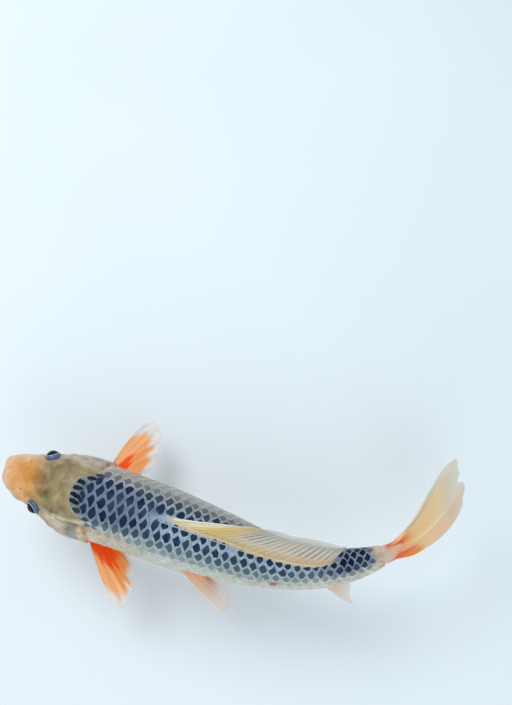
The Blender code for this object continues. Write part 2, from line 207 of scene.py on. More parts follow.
def level_directions(s):
    """Towards the tail and the fish's right side, both level, at s metres from the snout."""
    angle = heading(np.asarray(s, float))
    zero = np.zeros_like(angle)
    back = np.stack([np.cos(angle), np.sin(angle), zero], -1)
    return back, np.stack([-np.sin(angle), np.cos(angle), zero], -1)


def directions(s):
    """Towards the tail, the fish's right side and its back, at s metres from the snout."""
    back, right = level_directions(s)
    roll = ROLL * ease((np.asarray(s) / LENGTH - ROLL_FROM) / (ROLL_TO - ROLL_FROM))[..., None]
    up = UP * np.cos(roll) + right * np.sin(roll)
    return back, right * np.cos(roll) - UP * np.sin(roll), up


def row_at(along):
    return np.interp(along, SECTIONS[FRONT_ROW:, 0], np.arange(FRONT_ROW, len(SECTIONS)))


def flat_section(row, angle):
    """Along, sideways and upwards, in shares of the length, of points of the sections."""
    values = smooth_at(row, np.arange(len(SECTIONS)), SECTIONS)
    along, width, top, bottom, level, boxy_top, boxy_bottom = np.moveaxis(values, -1, 0)
    sine, cosine = np.sin(angle), np.cos(angle)
    power = np.where(cosine >= 0, boxy_top, boxy_bottom)
    height = np.where(cosine >= 0, top - level, level - bottom)
    side = np.sign(sine) * np.abs(sine) ** power * width
    return along, side, level + np.sign(cosine) * np.abs(cosine) ** power * height


def on_rows(row, angle):
    row, angle = np.broadcast_arrays(np.asarray(row, float), np.asarray(angle, float))
    along, side, lift = flat_section(row, angle)
    right, up = directions(along * LENGTH)[1:]
    return spine(along * LENGTH) + (right * side[..., None] + up * lift[..., None]) * LENGTH


def rows_normal(row, angle, step=0.01):
    row, angle = np.broadcast_arrays(np.asarray(row, float), np.asarray(angle, float))
    lengthwise = on_rows(np.minimum(row + step, LAST_ROW), angle)
    lengthwise = lengthwise - on_rows(np.maximum(row - step, 0), angle)
    around = on_rows(row, angle + step) - on_rows(row, angle - step)
    return unit(np.cross(lengthwise, around))


def on_skin(along, angle):
    return on_rows(row_at(along), angle)


def skin_normal(along, angle):
    return rows_normal(row_at(along), angle, 0.02)


# Distances over the skin from the back's middle line, to lay the rows of scales
GIRTH_FROM, GIRTH_TO = 0.12, 1.0
GIRTH_ALONG = np.linspace(GIRTH_FROM, GIRTH_TO, 177)
GIRTH_ANGLES = np.linspace(0, math.pi, 241)
GIRTH_SHARES = np.linspace(0, 1, 201)


def measure_girth():
    _, side, lift = flat_section(row_at(GIRTH_ALONG)[:, None], GIRTH_ANGLES[None, :])
    steps = np.hypot(np.diff(side, axis=1), np.diff(lift, axis=1)) * LENGTH
    distance = np.concatenate([np.zeros((len(steps), 1)), np.cumsum(steps, 1)], 1)
    angles = [np.interp(GIRTH_SHARES, d / d[-1], GIRTH_ANGLES) for d in distance]
    return distance[:, -1], np.stack(angles)


HALF_GIRTH, SHARE_ANGLES = measure_girth()


def half_girth(along):
    return np.interp(along, GIRTH_ALONG, HALF_GIRTH)


def angle_of_share(along, share):
    """The angle from the back's middle at a signed share of the half girth."""
    sign, share = np.sign(share), np.abs(share)
    over = share > 1
    share = np.where(over, 2 - share, share)
    i = np.clip(along, GIRTH_FROM, GIRTH_TO) - GIRTH_FROM
    i = i / (GIRTH_TO - GIRTH_FROM) * (len(GIRTH_ALONG) - 1)
    j = share * (len(GIRTH_SHARES) - 1)
    i0 = np.clip(i.astype(int), 0, len(GIRTH_ALONG) - 2)
    j0 = np.clip(j.astype(int), 0, len(GIRTH_SHARES) - 2)
    a, t = i - i0, SHARE_ANGLES
    low = t[i0, j0] * (1 - a) + t[i0 + 1, j0] * a
    high = t[i0, j0 + 1] * (1 - a) + t[i0 + 1, j0 + 1] * a
    angle = part_way((low, high), j - j0)
    return sign * np.where(over, TAU - angle, angle)


# The line that the dorsal fin and the rows of scales start from wanders a little off the middle
MIDDLE_LINE = (
    (0.15, -1.5), (0.30, -1.5), (0.38, 0.5), (0.43, 3.2), (0.50, 2.6), (0.58, 3.0), (0.65, 2.0),
    (0.70, 0.9), (0.75, -0.7), (0.80, -1.6), (0.86, 1.4), (0.91, 2.1), (1.00, 2.1),
)
TOP_ARC = 3.8  # near the back, an arc is the angle times the half girth over this


def middle_line(along):
    return table(along, MIDDLE_LINE) / 1000


def angle_of_arc(along, arc):
    """The angle at a signed distance over the skin from the wandering middle line."""
    return angle_of_share(along, (arc + middle_line(along)) / half_girth(along))


# ---------------------------------------------------------------- colours of the koi
def rgb(red, green, blue):
    """A colour as it looks on a screen, turned to the linear one that a material takes."""
    given = np.array([red, green, blue]) / 255
    return np.where(given <= 0.04045, given / 12.92, ((given + 0.055) / 1.055) ** 2.4)


LIP = rgb(228, 180, 137)
SNOUT = rgb(222, 164, 102)
CROWN = rgb(146, 130, 94)
FAR_CHEEK = rgb(190, 172, 156)
CHEEK = rgb(202, 184, 156)
NAPE = rgb(184, 180, 150)
FRONT_NET = rgb(104, 119, 140)
BACK_NET = rgb(155, 175, 191)
REAR_NET = rgb(120, 135, 163)
SIDE_NET = rgb(171, 188, 188)
FLANK = rgb(217, 216, 202)
FRONT_FLANK = rgb(214, 200, 172)
# Painted shade: the grey laid over the far side of the body, which lies in shade away from the light
FAR_SIDE_SHADE = rgb(148, 146, 148)
BELLY = rgb(228, 214, 196)
BLUSH = rgb(226, 104, 62)
STALK_END = rgb(214, 184, 158)
TAIL_FLESH = rgb(250, 172, 122)
FIN_ROOT = rgb(214, 190, 142)

# Where the scales begin, along, at each angle in degrees from the middle of the back
SCALES_FROM = (
    (0, 0.195), (8, 0.197), (16, 0.204), (24, 0.218), (32, 0.236), (40, 0.250), (60, 0.262),
    (90, 0.268), (180, 0.268),
)
SCALES_TO = 0.972

# Markings of the skin: along and angle, reach along and around, strength, and red, green and blue.
# Along is in thousandths and angles are in degrees.
MARKS = (
    # The snout: honey in the middle, paler at the sides
    (62, 2, 28, 26, 0.75, 206, 142, 62),
    (80, 4, 22, 16, 0.70, 196, 128, 46),
    (90, -26, 26, 14, 0.75, 208, 148, 76),
    (112, -32, 18, 11, 0.70, 186, 150, 88),
    (92, 28, 18, 12, 0.60, 198, 148, 84),
    (40, 60, 20, 18, 0.60, 204, 186, 166),
    (40, -70, 16, 14, 0.60, 222, 204, 176),
    (68, -68, 10, 9, 0.60, 198, 152, 122),
    (80, -70, 6, 10, 0.50, 226, 192, 158),
    (66, 68, 14, 12, 0.60, 208, 198, 180),
    # The nostrils' pale flaps and dark pits
    (59, -35, 3.2, 5, 0.80, 232, 206, 170),
    (64, -34, 2.0, 2.4, 0.80, 120, 84, 58),
    (59, 36, 3.2, 6, 0.60, 224, 202, 170),
    (64, 36, 1.8, 2.2, 0.60, 140, 100, 70),
    (54, -50, 3.0, 13, 0.60, 232, 206, 168),
    (53, 52, 3.0, 14, 0.50, 224, 200, 166),
    # The crown: darker and lighter clouds
    (106, 2, 22, 9, 0.75, 142, 94, 40),
    (98, 14, 14, 7, 0.50, 156, 112, 56),
    (128, 8, 18, 8, 0.85, 120, 94, 50),
    (134, -15, 20, 9, 0.80, 114, 96, 54),
    (132, 25, 18, 9, 0.85, 112, 98, 62),
    (150, 18, 10, 8, 0.40, 126, 112, 78),
    (142, -29, 18, 6, 0.50, 156, 140, 82),
    (158, -10, 12, 9, 0.45, 160, 144, 92),
    (150, 0, 12, 4, 0.40, 154, 136, 82),
    (188, -26, 18, 6, 0.70, 132, 108, 78),
    (178, -8, 12, 10, 0.40, 156, 138, 104),
    (178, 20, 16, 12, 0.45, 158, 142, 116),
    (172, 6, 8, 6, 0.40, 136, 118, 80),
    (188, 34, 16, 6, 0.40, 142, 128, 104),
    # Behind and round the eyes
    (113, -57, 24, 21, 0.35, 134, 124, 94),
    (113, 57, 24, 21, 0.35, 134, 124, 104),
    (140, -52, 10, 12, 0.50, 176, 160, 118),
    (166.5, -38, 11.5, 7.5, 1.00, 98, 104, 88),
    (147, -36, 8.5, 4.5, 0.75, 118, 104, 66),
    (154, 43, 16, 6, 0.75, 124, 108, 84),
    (152, -68, 12, 7, 0.75, 188, 124, 108),
    # The ridge over each gill cover, its plate and its rear margin
    (188, -43, 20, 3.2, 1.00, 202, 196, 172),
    (212, -41, 16, 2.6, 0.90, 198, 190, 158),
    (236, -38.5, 14, 3.2, 1.00, 216, 208, 182),
    (170, -52, 4.0, 11, 0.90, 220, 208, 182),
    (205, 42, 34, 2.6, 0.60, 192, 178, 156),
    (168, 54, 4.0, 10, 0.70, 204, 188, 166),
    (190, -56, 13, 9, 0.80, 206, 188, 168),
    (205, -46.5, 28, 2.0, 0.70, 138, 134, 116),
    (219, -62, 19, 19, 1.10, 140, 145, 134),
    (213, -60, 4.5, 12, 0.60, 112, 122, 114),
    (205, 55, 30, 13, 0.50, 178, 162, 148),
    (222, 66, 14, 14, 0.50, 146, 142, 136),
    (240.5, -52, 4.8, 9, 1.20, 228, 206, 168),
    (245, -66, 4.8, 9, 1.20, 226, 204, 170),
    (249.5, -46, 4.8, 6, 1.20, 184, 136, 98),
    (255.5, -57, 4.8, 8, 1.20, 178, 130, 96),
    (243, 50, 4.8, 7, 1.10, 148, 118, 96),
    (249, 60, 4.8, 7, 1.10, 146, 118, 100),
    (266, -66, 7.0, 14, 0.80, 222, 202, 170),
    # The bare lobe before the dorsal fin
    (408, 13, 18, 9, 1.10, 98, 116, 142),
    # The vent, and the red at the root of the tail fin
    (707.5, -62, 7.5, 6, 1.60, 158, 88, 28),
    (707.5, -67, 6.0, 5, 0.70, 224, 150, 96),
    (984, -8, 11, 14, 0.95, 222, 84, 46),
    (984, 14, 10, 14, 0.85, 226, 98, 54),
    (1012, -130, 16, 44, 0.90, 238, 108, 60),
    (1012, 150, 14, 26, 0.80, 236, 110, 62),
)


def scales_start(angle):
    return table(np.degrees(np.abs(turned(angle))), SCALES_FROM)


def body_colour(along, angle):
    """The koi's ground colour at a place on its skin, with painted shade greying the far side of the
    body.
    """
    angle = turned(angle)
    turn = np.abs(angle)
    high = turn * (1 - 0.45 * between(along, 0.76, 0.86))
    blush = window(turn, 1.75, 2.0, 2.2, 2.7) * window(along, 0.2, 0.3, 0.75, 0.95)
    arc = np.abs(angle * half_girth(along) / TOP_ARC - middle_line(along)) * 1000
    fin_root = fades(arc, 1.6, 3.0) * window(along, 0.425, 0.47, 0.82, 0.86)
    scaled = laid(
        FRONT_NET,
        (BACK_NET, between(along, 0.32, 0.47)),
        (REAR_NET, between(along, 0.74, 0.86)),
        (SIDE_NET, between(high, 0.35, 0.65)),
        (FLANK, between(turn, 0.70, 1.05)),
        (FRONT_FLANK, fades(along, 0.30, 0.44) * between(turn, 0.62, 0.85)),
        # painted shade: the far side greyed and darkened
        (FAR_SIDE_SHADE, 0.65 * window(angle, 0.25, 0.65, 1.3, 1.8)),
        (BELLY, between(turn, 1.2, 2.0)),
        (BLUSH, 0.55 * blush),
        (STALK_END, 0.9 * between(along, 0.925, 0.955)),
        (TAIL_FLESH, 0.9 * between(along, 0.976, 1.0)),
        (FIN_ROOT, 0.9 * fin_root),
    )
    fore = fades(along - 0.012 * np.cos(angle * 1.7 + 0.9), 0.060, 0.125)
    edge = along - scales_start(turn)
    head = laid(
        CROWN,
        (FAR_CHEEK, between(angle, 0.55, 0.95)),
        (CHEEK, between(-angle, 0.62, 0.95)),
        (BELLY, between(turn, 1.6, 2.2)),
        (BLUSH, 0.7 * window(turn, 1.35, 1.55, 1.75, 2.05) * between(along, 0.08, 0.12)),
        (SNOUT, fore),
        (LIP, fades(along, 0.012, 0.034)),
        (NAPE, 0.25 * bump(edge + 0.004, 0.006) * fades(turn, 0.6, 0.9)),
    )
    shade = mix(head, scaled, between(edge, -0.002, 0.004))
    for at, degrees, reach, reach_degrees, strength, *colour in MARKS:
        x = (along * 1000 - at) / reach
        y = turned(angle - math.radians(degrees)) / math.radians(reach_degrees)
        share = np.clip(strength * np.exp(-((x * x + y * y) ** 1.4)), 0, 1)
        shade = mix(shade, rgb(*colour), share)
    return shade


# Where the dark back starts to fade, in millimetres from the top, and how far it takes
DARK_FROM = ((0.18, 7), (0.35, 7), (0.53, 7), (0.71, 4), (0.88, 3), (1, 2))
DARK_FADE = ((0.18, 27), (0.53, 26.5), (0.71, 25), (0.88, 19), (1, 18))
FAR_DARKER = 3.0  # how many millimetres further the dark back reaches on the far side


def darkness(along, arc):
    """How dark the middle of a scale is, arc metres away from the middle line."""
    arc = arc + middle_line(along)
    away = np.abs(arc) * 1000 - table(along, DARK_FROM) - FAR_DARKER * (arc > 0)
    return (1 - ease(away / table(along, DARK_FADE))) * fades(along, 0.925, 0.950)


# ---------------------------------------------------------------- materials
class Nodes:
    """Shorthand for building one material's node tree."""

    def __init__(self, name):
        self.material = bpy.data.materials.new(name)
        self.material.use_nodes = True
        self.tree = self.material.node_tree

    def add(self, kind, settings=(), **inputs):
        node = self.tree.nodes.new("ShaderNode" + kind)
        for key, value in dict(settings).items():
            setattr(node, key, value)
        return self.set(node, inputs)

    def set(self, node, inputs):
        """Gives sockets, by name or number, a number, a colour or another node's output."""
        for key, value in inputs.items():
            socket = node.inputs[key.replace("_", " ") if isinstance(key, str) else key]
            if isinstance(value, bpy.types.NodeSocket):
                self.tree.links.new(value, socket)
            else:
                socket.default_value = (*value, 1.0) if isinstance(value, np.ndarray) else value
        return node

    def finish(self, **inputs):
        self.set(self.tree.nodes["Principled BSDF"], inputs)
        return self.material

    def value(self, name):
        return self.add("Attribute", {"attribute_name": name}).outputs["Fac"]

    def colour(self, name):
        return self.add("Attribute", {"attribute_name": name}).outputs["Color"]

    def place(self):
        return self.add("TexCoord").outputs["Object"]

    def noise(self, scale, detail=3, roughness=0.5, vector=None):
        vector = vector or self.place()
        settings = {"Scale": scale, "Detail": detail, "Roughness": roughness, "Vector": vector}
        return self.add("TexNoise", **settings).outputs["Fac"]

    def ramp(self, value, low, high, start=0.0, end=1.0):
        sockets = {"From_Min": low, "From_Max": high, "To_Min": start, "To_Max": end}
        node = self.add("MapRange", {"interpolation_type": "SMOOTHSTEP"}, Value=value, **sockets)
        return node.outputs["Result"]

    def maths(self, operation, *values):
        node = self.add("Math", {"operation": operation})
        return self.set(node, dict(enumerate(values))).outputs["Value"]

    def times(self, a, b):
        return self.maths("MULTIPLY", a, b)

    def blend(self, share, a, b, kind="MIX"):
        node = self.add("Mix", {"data_type": "RGBA", "blend_type": kind})
        return self.set(node, {0: share, 6: a, 7: b}).outputs[2]

    def relief(self, height, distance, strength):
        return self.add("Bump", Height=height, Distance=distance, Strength=strength).outputs["Normal"]


def skin_material():
    n = Nodes("koi_skin")
    bare = n.value("bare")
    cloud, vein = n.noise(90, 4, 0.6), n.noise(210, 4, 0.6)
    shade = n.colour("tint")
    # Dark clouds, veins, light clouds and specks, on the bare skin only
    for pattern, low, high, most, colour, kind in (
        (cloud, 0.42, 0.66, 0.55, rgb(196, 178, 148), "MULTIPLY"),
        (vein, 0.48, 0.68, 0.50, rgb(206, 196, 178), "MULTIPLY"),
        (n.noise(150, 4, 0.6), 0.50, 0.72, 0.16, rgb(250, 240, 214), "MIX"),
        (n.noise(600), 0.58, 0.76, 0.35, rgb(196, 184, 166), "MULTIPLY"),
    ):
        share = n.times(n.ramp(pattern, low, high, 0.0, most), bare)
        shade = n.blend(share, shade, colour, kind)
    grain = n.maths("ADD", n.noise(900), n.times(vein, 1.4))
    return n.finish(
        Base_Color=shade,
        Roughness=n.ramp(cloud, 0.3, 0.7, 0.36, 0.50),
        Normal=n.relief(n.times(grain, bare), 0.00012, 0.4),
        Specular_IOR_Level=0.28,
        Coat_Weight=0.12,
        Coat_Roughness=0.22,
        Subsurface_Weight=0.12,
        Subsurface_Radius=(0.003, 0.0015, 0.001),
        Subsurface_Scale=1.0,
    )


def scale_material():
    n = Nodes("koi_scales")
    rim, dark, deep = n.value("rim"), n.value("dark"), n.colour("deep")
    faint = n.maths("SUBTRACT", 1.0, dark)
    # The dark middle is a blunt diamond, smaller on the paler scales
    ahead = n.maths("POWER", n.maths("ABSOLUTE", n.value("ahead")), 1.7)
    across = n.maths("POWER", n.value("across"), 1.5)
    away = n.times(n.maths("ADD", ahead, across), n.maths("MULTIPLY_ADD", faint, 1.0, 1.0))
    away = n.maths("ADD", away, n.ramp(n.noise(300), 0.3, 0.7, -0.26, 0.20))
    soft = n.maths("MULTIPLY_ADD", faint, 1.3, 0.20)
    inside = n.maths("SUBTRACT", 1.0, n.maths("DIVIDE", n.maths("SUBTRACT", away, 0.86), soft))
    inside = n.ramp(inside, 0.0, 1.0)
    core = n.blend(n.ramp(n.noise(260), 0.40, 0.70, 0.0, 0.45), n.colour("core"), deep)
    body = n.blend(n.ramp(n.noise(350, 4), 0.4, 0.7, 0.0, 0.22), n.colour("tint"), deep)
    body = n.blend(n.ramp(rim, 0.12, 0.75, 0.22, 0.0), body, rgb(196, 204, 208))
    body = n.blend(n.times(inside, dark), body, core)
    # Painted highlights: small pale glints near the rims, standing for reflections on the wet scales
    painted_glint = n.times(n.ramp(n.noise(520, 2), 0.70, 0.76), n.ramp(rim, 0.5, 1.5, 0.6, 0.0))
    rings = n.maths("SINE", n.times(rim, 24.0))
    height = n.maths("ADD", n.times(rings, 0.4), n.noise(1500, 2))
    return n.finish(
        Base_Color=n.blend(painted_glint, body, rgb(226, 234, 238)),
        Roughness=n.ramp(n.noise(300), 0.3, 0.7, 0.30, 0.44),
        Normal=n.relief(height, 0.00006, 0.5),
        Specular_IOR_Level=0.10,
        Coat_Weight=0.05,
        Coat_Roughness=0.15,
    )


def fin_material(name):
    n = Nodes(name)
    fibre = n.noise(500, 4, 0.6)
    return n.finish(
        Base_Color=n.blend(n.ramp(fibre, 0.38, 0.66, 0.0, 0.30), n.colour("tint"), n.colour("streak")),
        Roughness=n.ramp(fibre, 0.3, 0.7, 0.40, 0.52),
        Alpha=n.value("solidity"),
        Normal=n.relief(fibre, 0.0001, 0.3),
        Specular_IOR_Level=0.08,
        Subsurface_Weight=n.ramp(n.value("solidity"), 0.88, 0.96, 0.0, 0.40),
        Subsurface_Radius=(0.004, 0.002, 0.0012),
        Subsurface_Scale=1.0,
    )


def eye_material():
    n = Nodes("koi_eye")
    gaze = n.value("gaze")  # degrees from the middle of the pupil
    speck = n.noise(1100, 4, 0.6)
    outer = n.blend(n.ramp(speck, 0.35, 0.65), rgb(52, 76, 122), rgb(98, 124, 166))
    outer = n.blend(n.ramp(n.value("lift"), 0.0, 0.5), rgb(92, 84, 78), outer)
    # Painted shade: the ball turns grey where it sinks into the socket
    outer = n.blend(n.ramp(n.value("socket"), 62, 74), outer, rgb(88, 94, 94))
    iris = n.blend(n.ramp(speck, 0.50, 0.70), rgb(2, 3, 8), rgb(14, 16, 24))
    shade = n.blend(n.ramp(gaze, 49, 51), iris, rgb(190, 198, 208))
    shade = n.blend(n.ramp(gaze, 52, 55), shade, outer)
    ring = n.times(n.ramp(gaze, 27.5, 28.5), n.ramp(gaze, 29.5, 31, 1.0, 0.0))
    shade = n.blend(ring, shade, rgb(120, 100, 62))
    shade = n.blend(n.ramp(gaze, 27, 28), rgb(3, 3, 5), shade)
    return n.finish(Base_Color=shade, Roughness=0.08, Specular_IOR_Level=0.16)


def barbel_material():
    n = Nodes("koi_barbel")
    shade = n.blend(n.ramp(n.noise(800), 0.35, 0.65, 0.0, 0.5), LIP, rgb(190, 122, 84))
    return n.finish(Base_Color=shade, Roughness=0.4, Coat_Weight=0.3, Coat_Roughness=0.2)


# ---------------------------------------------------------------- making meshes
def make_mesh(name, points, faces, material, colours=(), numbers=(), uv=None):
    """A smooth mesh with named colours and numbers at its points, and uv at its corners."""
    mesh = bpy.data.meshes.new(name)
    points = np.asarray(points, np.float32).reshape(-1, 3)
    corners = np.concatenate(faces).astype(np.int32)
    ends = np.cumsum([len(face) for face in faces]).astype(np.int32)
    mesh.vertices.add(len(points))
    mesh.vertices.foreach_set("co", points.ravel())
    mesh.loops.add(len(corners))
    mesh.loops.foreach_set("vertex_index", corners)
    mesh.polygons.add(len(ends))
    mesh.polygons.foreach_set("loop_start", np.append(np.int32(0), ends[:-1]))
    mesh.update(calc_edges=True)
    mesh.shade_smooth()
    for key, values in dict(colours).items():
        values = np.asarray(values, np.float32).reshape(-1, 3)
        full = np.concatenate([values, np.ones((len(values), 1), np.float32)], 1)
        layer = mesh.color_attributes.new(key, "FLOAT_COLOR", "POINT")
        layer.data.foreach_set("color", full.ravel())
    for key, values in dict(numbers).items():
        layer = mesh.attributes.new(key, "FLOAT", "POINT")
        layer.data.foreach_set("value", np.asarray(values, np.float32).ravel())
    if uv is not None:
        layer = mesh.uv_layers.new(name="OFBake")
        layer.data.foreach_set("uv", np.asarray(uv, np.float32).ravel())
    mesh.materials.append(material)
    made = bpy.data.objects.new(name, mesh)
    bpy.context.scene.collection.objects.link(made)
    return made


def ring_faces(rings, around, looped=False):
    """Faces from each ring of points to the next; the ends are capped or joined in a loop."""
    faces = []
    for i in range(rings if looped else rings - 1):
        a, b = i * around, (i + 1) % rings * around
        for j in range(around):
            k = (j + 1) % around
            faces.append([a + j, a + k, b + k, b + j])
    if not looped:
        faces.append(list(range(around))[::-1])
        faces.append([(rings - 1) * around + j for j in range(around)])
    return faces


# A plate's layout: u over its front and its back, v over both, and the margin with its rim
FRONT_U, BACK_U = (0.03, 0.50), (0.97, 0.53)
PLATE_V = (0.04, 0.96)
RIM_AT = 0.012


def plate_faces(rows, columns):
    """Faces and flat layout of a closed plate: a front grid, a back grid and the rim between."""
    layer = rows * columns
    faces, uv = [], []

    def front(i, j):
        return part_way(FRONT_U, i / (rows - 1)), part_way(PLATE_V, j / (columns - 1))

    def behind(i, j):
        return part_way(BACK_U, i / (rows - 1)), front(i, j)[1]

    def rim(p, q, beyond):
        a, b = (i * columns + j for i, j in (p, q))
        faces.append([b, a, a + layer, b + layer])
        uv.append([front(*q), front(*p), beyond(*p), beyond(*q)])

    for i in range(rows - 1):
        for j in range(columns - 1):
            corners = ((i, j), (i + 1, j), (i + 1, j + 1), (i, j + 1))
            faces.append([a * columns + b for a, b in corners])
            uv.append([front(*corner) for corner in corners])
            faces.append([layer + a * columns + b for a, b in corners[::-1]])
            uv.append([behind(*corner) for corner in corners[::-1]])
    for j in range(columns - 1):
        rim((rows - 1, j), (rows - 1, j + 1), behind)
        rim((0, j + 1), (0, j), lambda i, j: (RIM_AT, front(i, j)[1]))
    for i in range(rows - 1):
        rim((i, 0), (i + 1, 0), lambda i, j: (front(i, j)[0], RIM_AT))
        rim((i + 1, columns - 1), (i, columns - 1), lambda i, j: (front(i, j)[0], 1 - RIM_AT))
    return np.array(faces), np.array(uv)


def dress(made, slot, *nodes):
    """The piece rides on the fish and stands for CAD nodes, which it hides. The slot is not used."""
    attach(made, "root")
    if nodes:
        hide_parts(*nodes)


# ---------------------------------------------------------------- the skin
COAT_DEPTH = 0.00045
GILL_MIDDLE, GILL_REACH = (0.203, math.radians(93)), (0.056, math.radians(47))
GILL_SLANT, GILL_PROUD = 0.004, 0.0011
NOSTRIL_ALONG, NOSTRIL_ANGLE = 0.0605, math.radians(35)
NOSTRIL_WIDTH = 0.055  # of the snout there, a share of the length for each radian


def eye_spot(side):
    angle = side * math.acos(EYE_LEVEL / EYE_SPAN)
    place, normal = on_skin(EYE_ALONG, angle), skin_normal(EYE_ALONG, angle)
    return place - normal * (EYE_RADIUS - EYE_PROUD), normal


def gill_relief(along, turn):
    """The gill cover: a plate with a lifted rear edge, a ridge on top and ribs fanning out."""
    v = (turn - GILL_MIDDLE[1]) / GILL_REACH[1]
    u = (along - GILL_MIDDLE[0] - GILL_SLANT * v) / GILL_REACH[0]
    share = (np.abs(u) ** 2.5 + np.abs(v) ** 2.5) ** 0.4
    inside = fades(share, 0.92, 1.01)
    plate = GILL_PROUD * between(u, -1.1, 0.4) + 0.0006 * between(u, 0.55, 0.95)
    gutter = 0.0008 * bump(share - 1.07, 0.05) * between(u, -0.4, 0.2)
    fan = 0.00014 * np.sin(np.arctan2(v + 0.75, u + 1.05) * 26) * between(share, 0.2, 0.5)
    groove = 0.00045 * bump(u + 0.62 - 0.18 * v * v, 0.09)
    rib = 0.00045 * bump(u + 0.85 - 0.20 * v * v, 0.10)
    ridge = turn - 0.75 + 0.10 * between(along, 0.20, 0.245)
    top = 0.0009 * bump(ridge, 0.055) - 0.0005 * bump(ridge - 0.15, 0.08)
    top = top - 0.0003 * bump(ridge + 0.10, 0.05)
    ends = window(along, 0.155, 0.170, 0.242, 0.254)
    return (plate + fan) * inside - gutter + (rib - groove) * fades(np.abs(v), 0.6, 1.1) + top * ends


def eye_relief(points):
    """A socket for each eye, the rim round it, and the hollow of the skull above it."""
    out = 0
    for _, side in SIDES:
        centre, outward = eye_spot(side)
        offset = points - centre
        depth = offset @ outward
        away = np.linalg.norm(offset - depth[..., None] * outward, axis=-1)
        upper = between(offset[..., 2], 0.0005, 0.0045)
        rim = 0.0005 * (1 - 0.5 * upper) * bump(away - 0.0062, 0.0010)
        rim = rim - 0.0040 * fades(away, 0.0040, 0.0052) - 0.00025 * bump(away - 0.0085, 0.0010)
        out = out + between(depth, -0.006, -0.002) * rim
        out = out - 0.0012 * upper * bump(away - 0.0052, 0.0034)
    return out


def nostril_relief(along, turn):
    """On each side a front pit and a larger rear one, with a flap between."""
    ahead, around = along - NOSTRIL_ALONG, (turn - NOSTRIL_ANGLE) * NOSTRIL_WIDTH
    return (
        0.0011 * bump(np.hypot(ahead / 0.0020, around / 0.0060), 1)
        - 0.0010 * bump(np.hypot(ahead + 0.0040, around), 0.0032)
        - 0.0013 * bump(np.hypot(ahead - 0.0042, around), 0.0038)
    )


def skin_relief(row, along, angle, points):
    """How far the skin stands out from the plain sections, in metres."""
    angle = turned(angle)
    turn = np.abs(angle)
    fold = along - 0.030 - 0.030 * between(turn, 1.2, 2.2)
    radian = half_girth(along) / TOP_ARC  # metres over the skin
    off_dorsal = turn * radian - middle_line(along) * np.sign(angle)
    off_pectoral = np.hypot(along - 0.268, (turn - math.radians(136)) * 0.085)
    off_pelvic = np.hypot(along - 0.466, (turn - math.radians(152)) * 0.080)
    reliefs = (
        -COAT_DEPTH * between(along - scales_start(turn), -0.001, 0.002),
        gill_relief(along, turn),
        eye_relief(points),
        nostril_relief(along, turn),
        # A rounder snout, lips, the fold behind them and the fold of the cheek
        0.0010 * bump(row - 4.9, 1.7) * between(turn, 0.7, 1.3),
        0.0013 * bump(row - 4.2, 1.5) * bump(angle - 1.0, 0.6),
        -0.0007 * bump(row - 3.6, 1.6) * bump(angle + 1.3, 0.6),
        0.0003 * bump(row - 3.4, 0.7) - 0.0002 * bump(row - 5.3, 0.35),
        -0.0005 * bump(fold, 0.004) * window(turn, 1.1, 1.7, 2.4, 2.9),
        0.0004 * bump(along - 0.040, 0.012) * between(turn, 0.9, 1.4),
        # The skull: a shallow hollow behind the snout and faint plates under the skin
        -0.0005 * bump(along - 0.080, 0.018) * bump(turn, 0.35),
        -0.0003 * bump(turn - 0.03, 0.03) * between(along, 0.09, 0.11),
        -0.0003 * bump(along - 0.160 - 0.02 * turn, 0.003) * fades(turn, 0.6, 0.8),
        -0.0003 * bump(turn - 1.75, 0.3) * bump(along - 0.085, 0.03),
        # The near cheek and the corner of the mouth, a little fuller than the far ones
        0.0021 * bump(along - 0.185, 0.048) * bump(angle + 1.75, 0.6),
        0.0016 * bump(along - 0.055, 0.014) * bump(angle + 1.7, 0.5),
        # The shoulder behind the gill cover, and flesh at the roots of the fins
        0.0005 * bump(along - 0.276, 0.010) * bump(turn - 1.5, 0.7),
        0.0014 * window(along, 0.40, 0.43, 0.82, 0.85) * bump(off_dorsal, 0.0021),
        0.0012 * window(along, 0.755, 0.775, 0.85, 0.875) * bump((math.pi - turn) * radian, 0.0020),
        0.0016 * bump(off_pectoral, 0.016) + 0.0013 * bump(off_pelvic, 0.014),
    )
    return sum(reliefs)


STUB_RINGS, STUB_REACH = 14, 0.0085
SKIN_ROUND = 280
# Rings of the skin: from row, to row, how many
SKIN_ROWS = ((0.6, 3.0, 12), (3.0, 6.0, 34), (6.0, 10.0, 96), (10.0, 12.45, 100), (12.45, 22.0, 104))
SKIN_U, SKIN_V = (0.02, 0.95), (0.02, 0.98)
CAP_U, CAP_RADIUS = 0.975, 0.009


def make_stub(last_ring):
    """The flesh ends in a thin rounded lobe over the root of the tail fin."""
    right, up = directions(LENGTH)[1:]
    offset = last_ring - spine(LENGTH)
    side, lift = offset @ right, offset @ up
    for reach in np.linspace(0.0006, STUB_REACH, STUB_RINGS):
        left = 1 - (reach / (STUB_REACH * 1.02)) ** 2
        ahead_right = level_directions(LENGTH + reach)[1]
        ahead_up = UP * math.cos(ROLL) + ahead_right * math.sin(ROLL)
        across = ahead_right * math.cos(ROLL) - UP * math.sin(ROLL)
        thin = 0.42 + 0.58 * (1 - reach / STUB_REACH) ** 1.5
        ring = spine(LENGTH + reach) + np.outer(side * thin * left**0.25, across)
        yield ring + np.outer(lift * left**0.5, ahead_up)


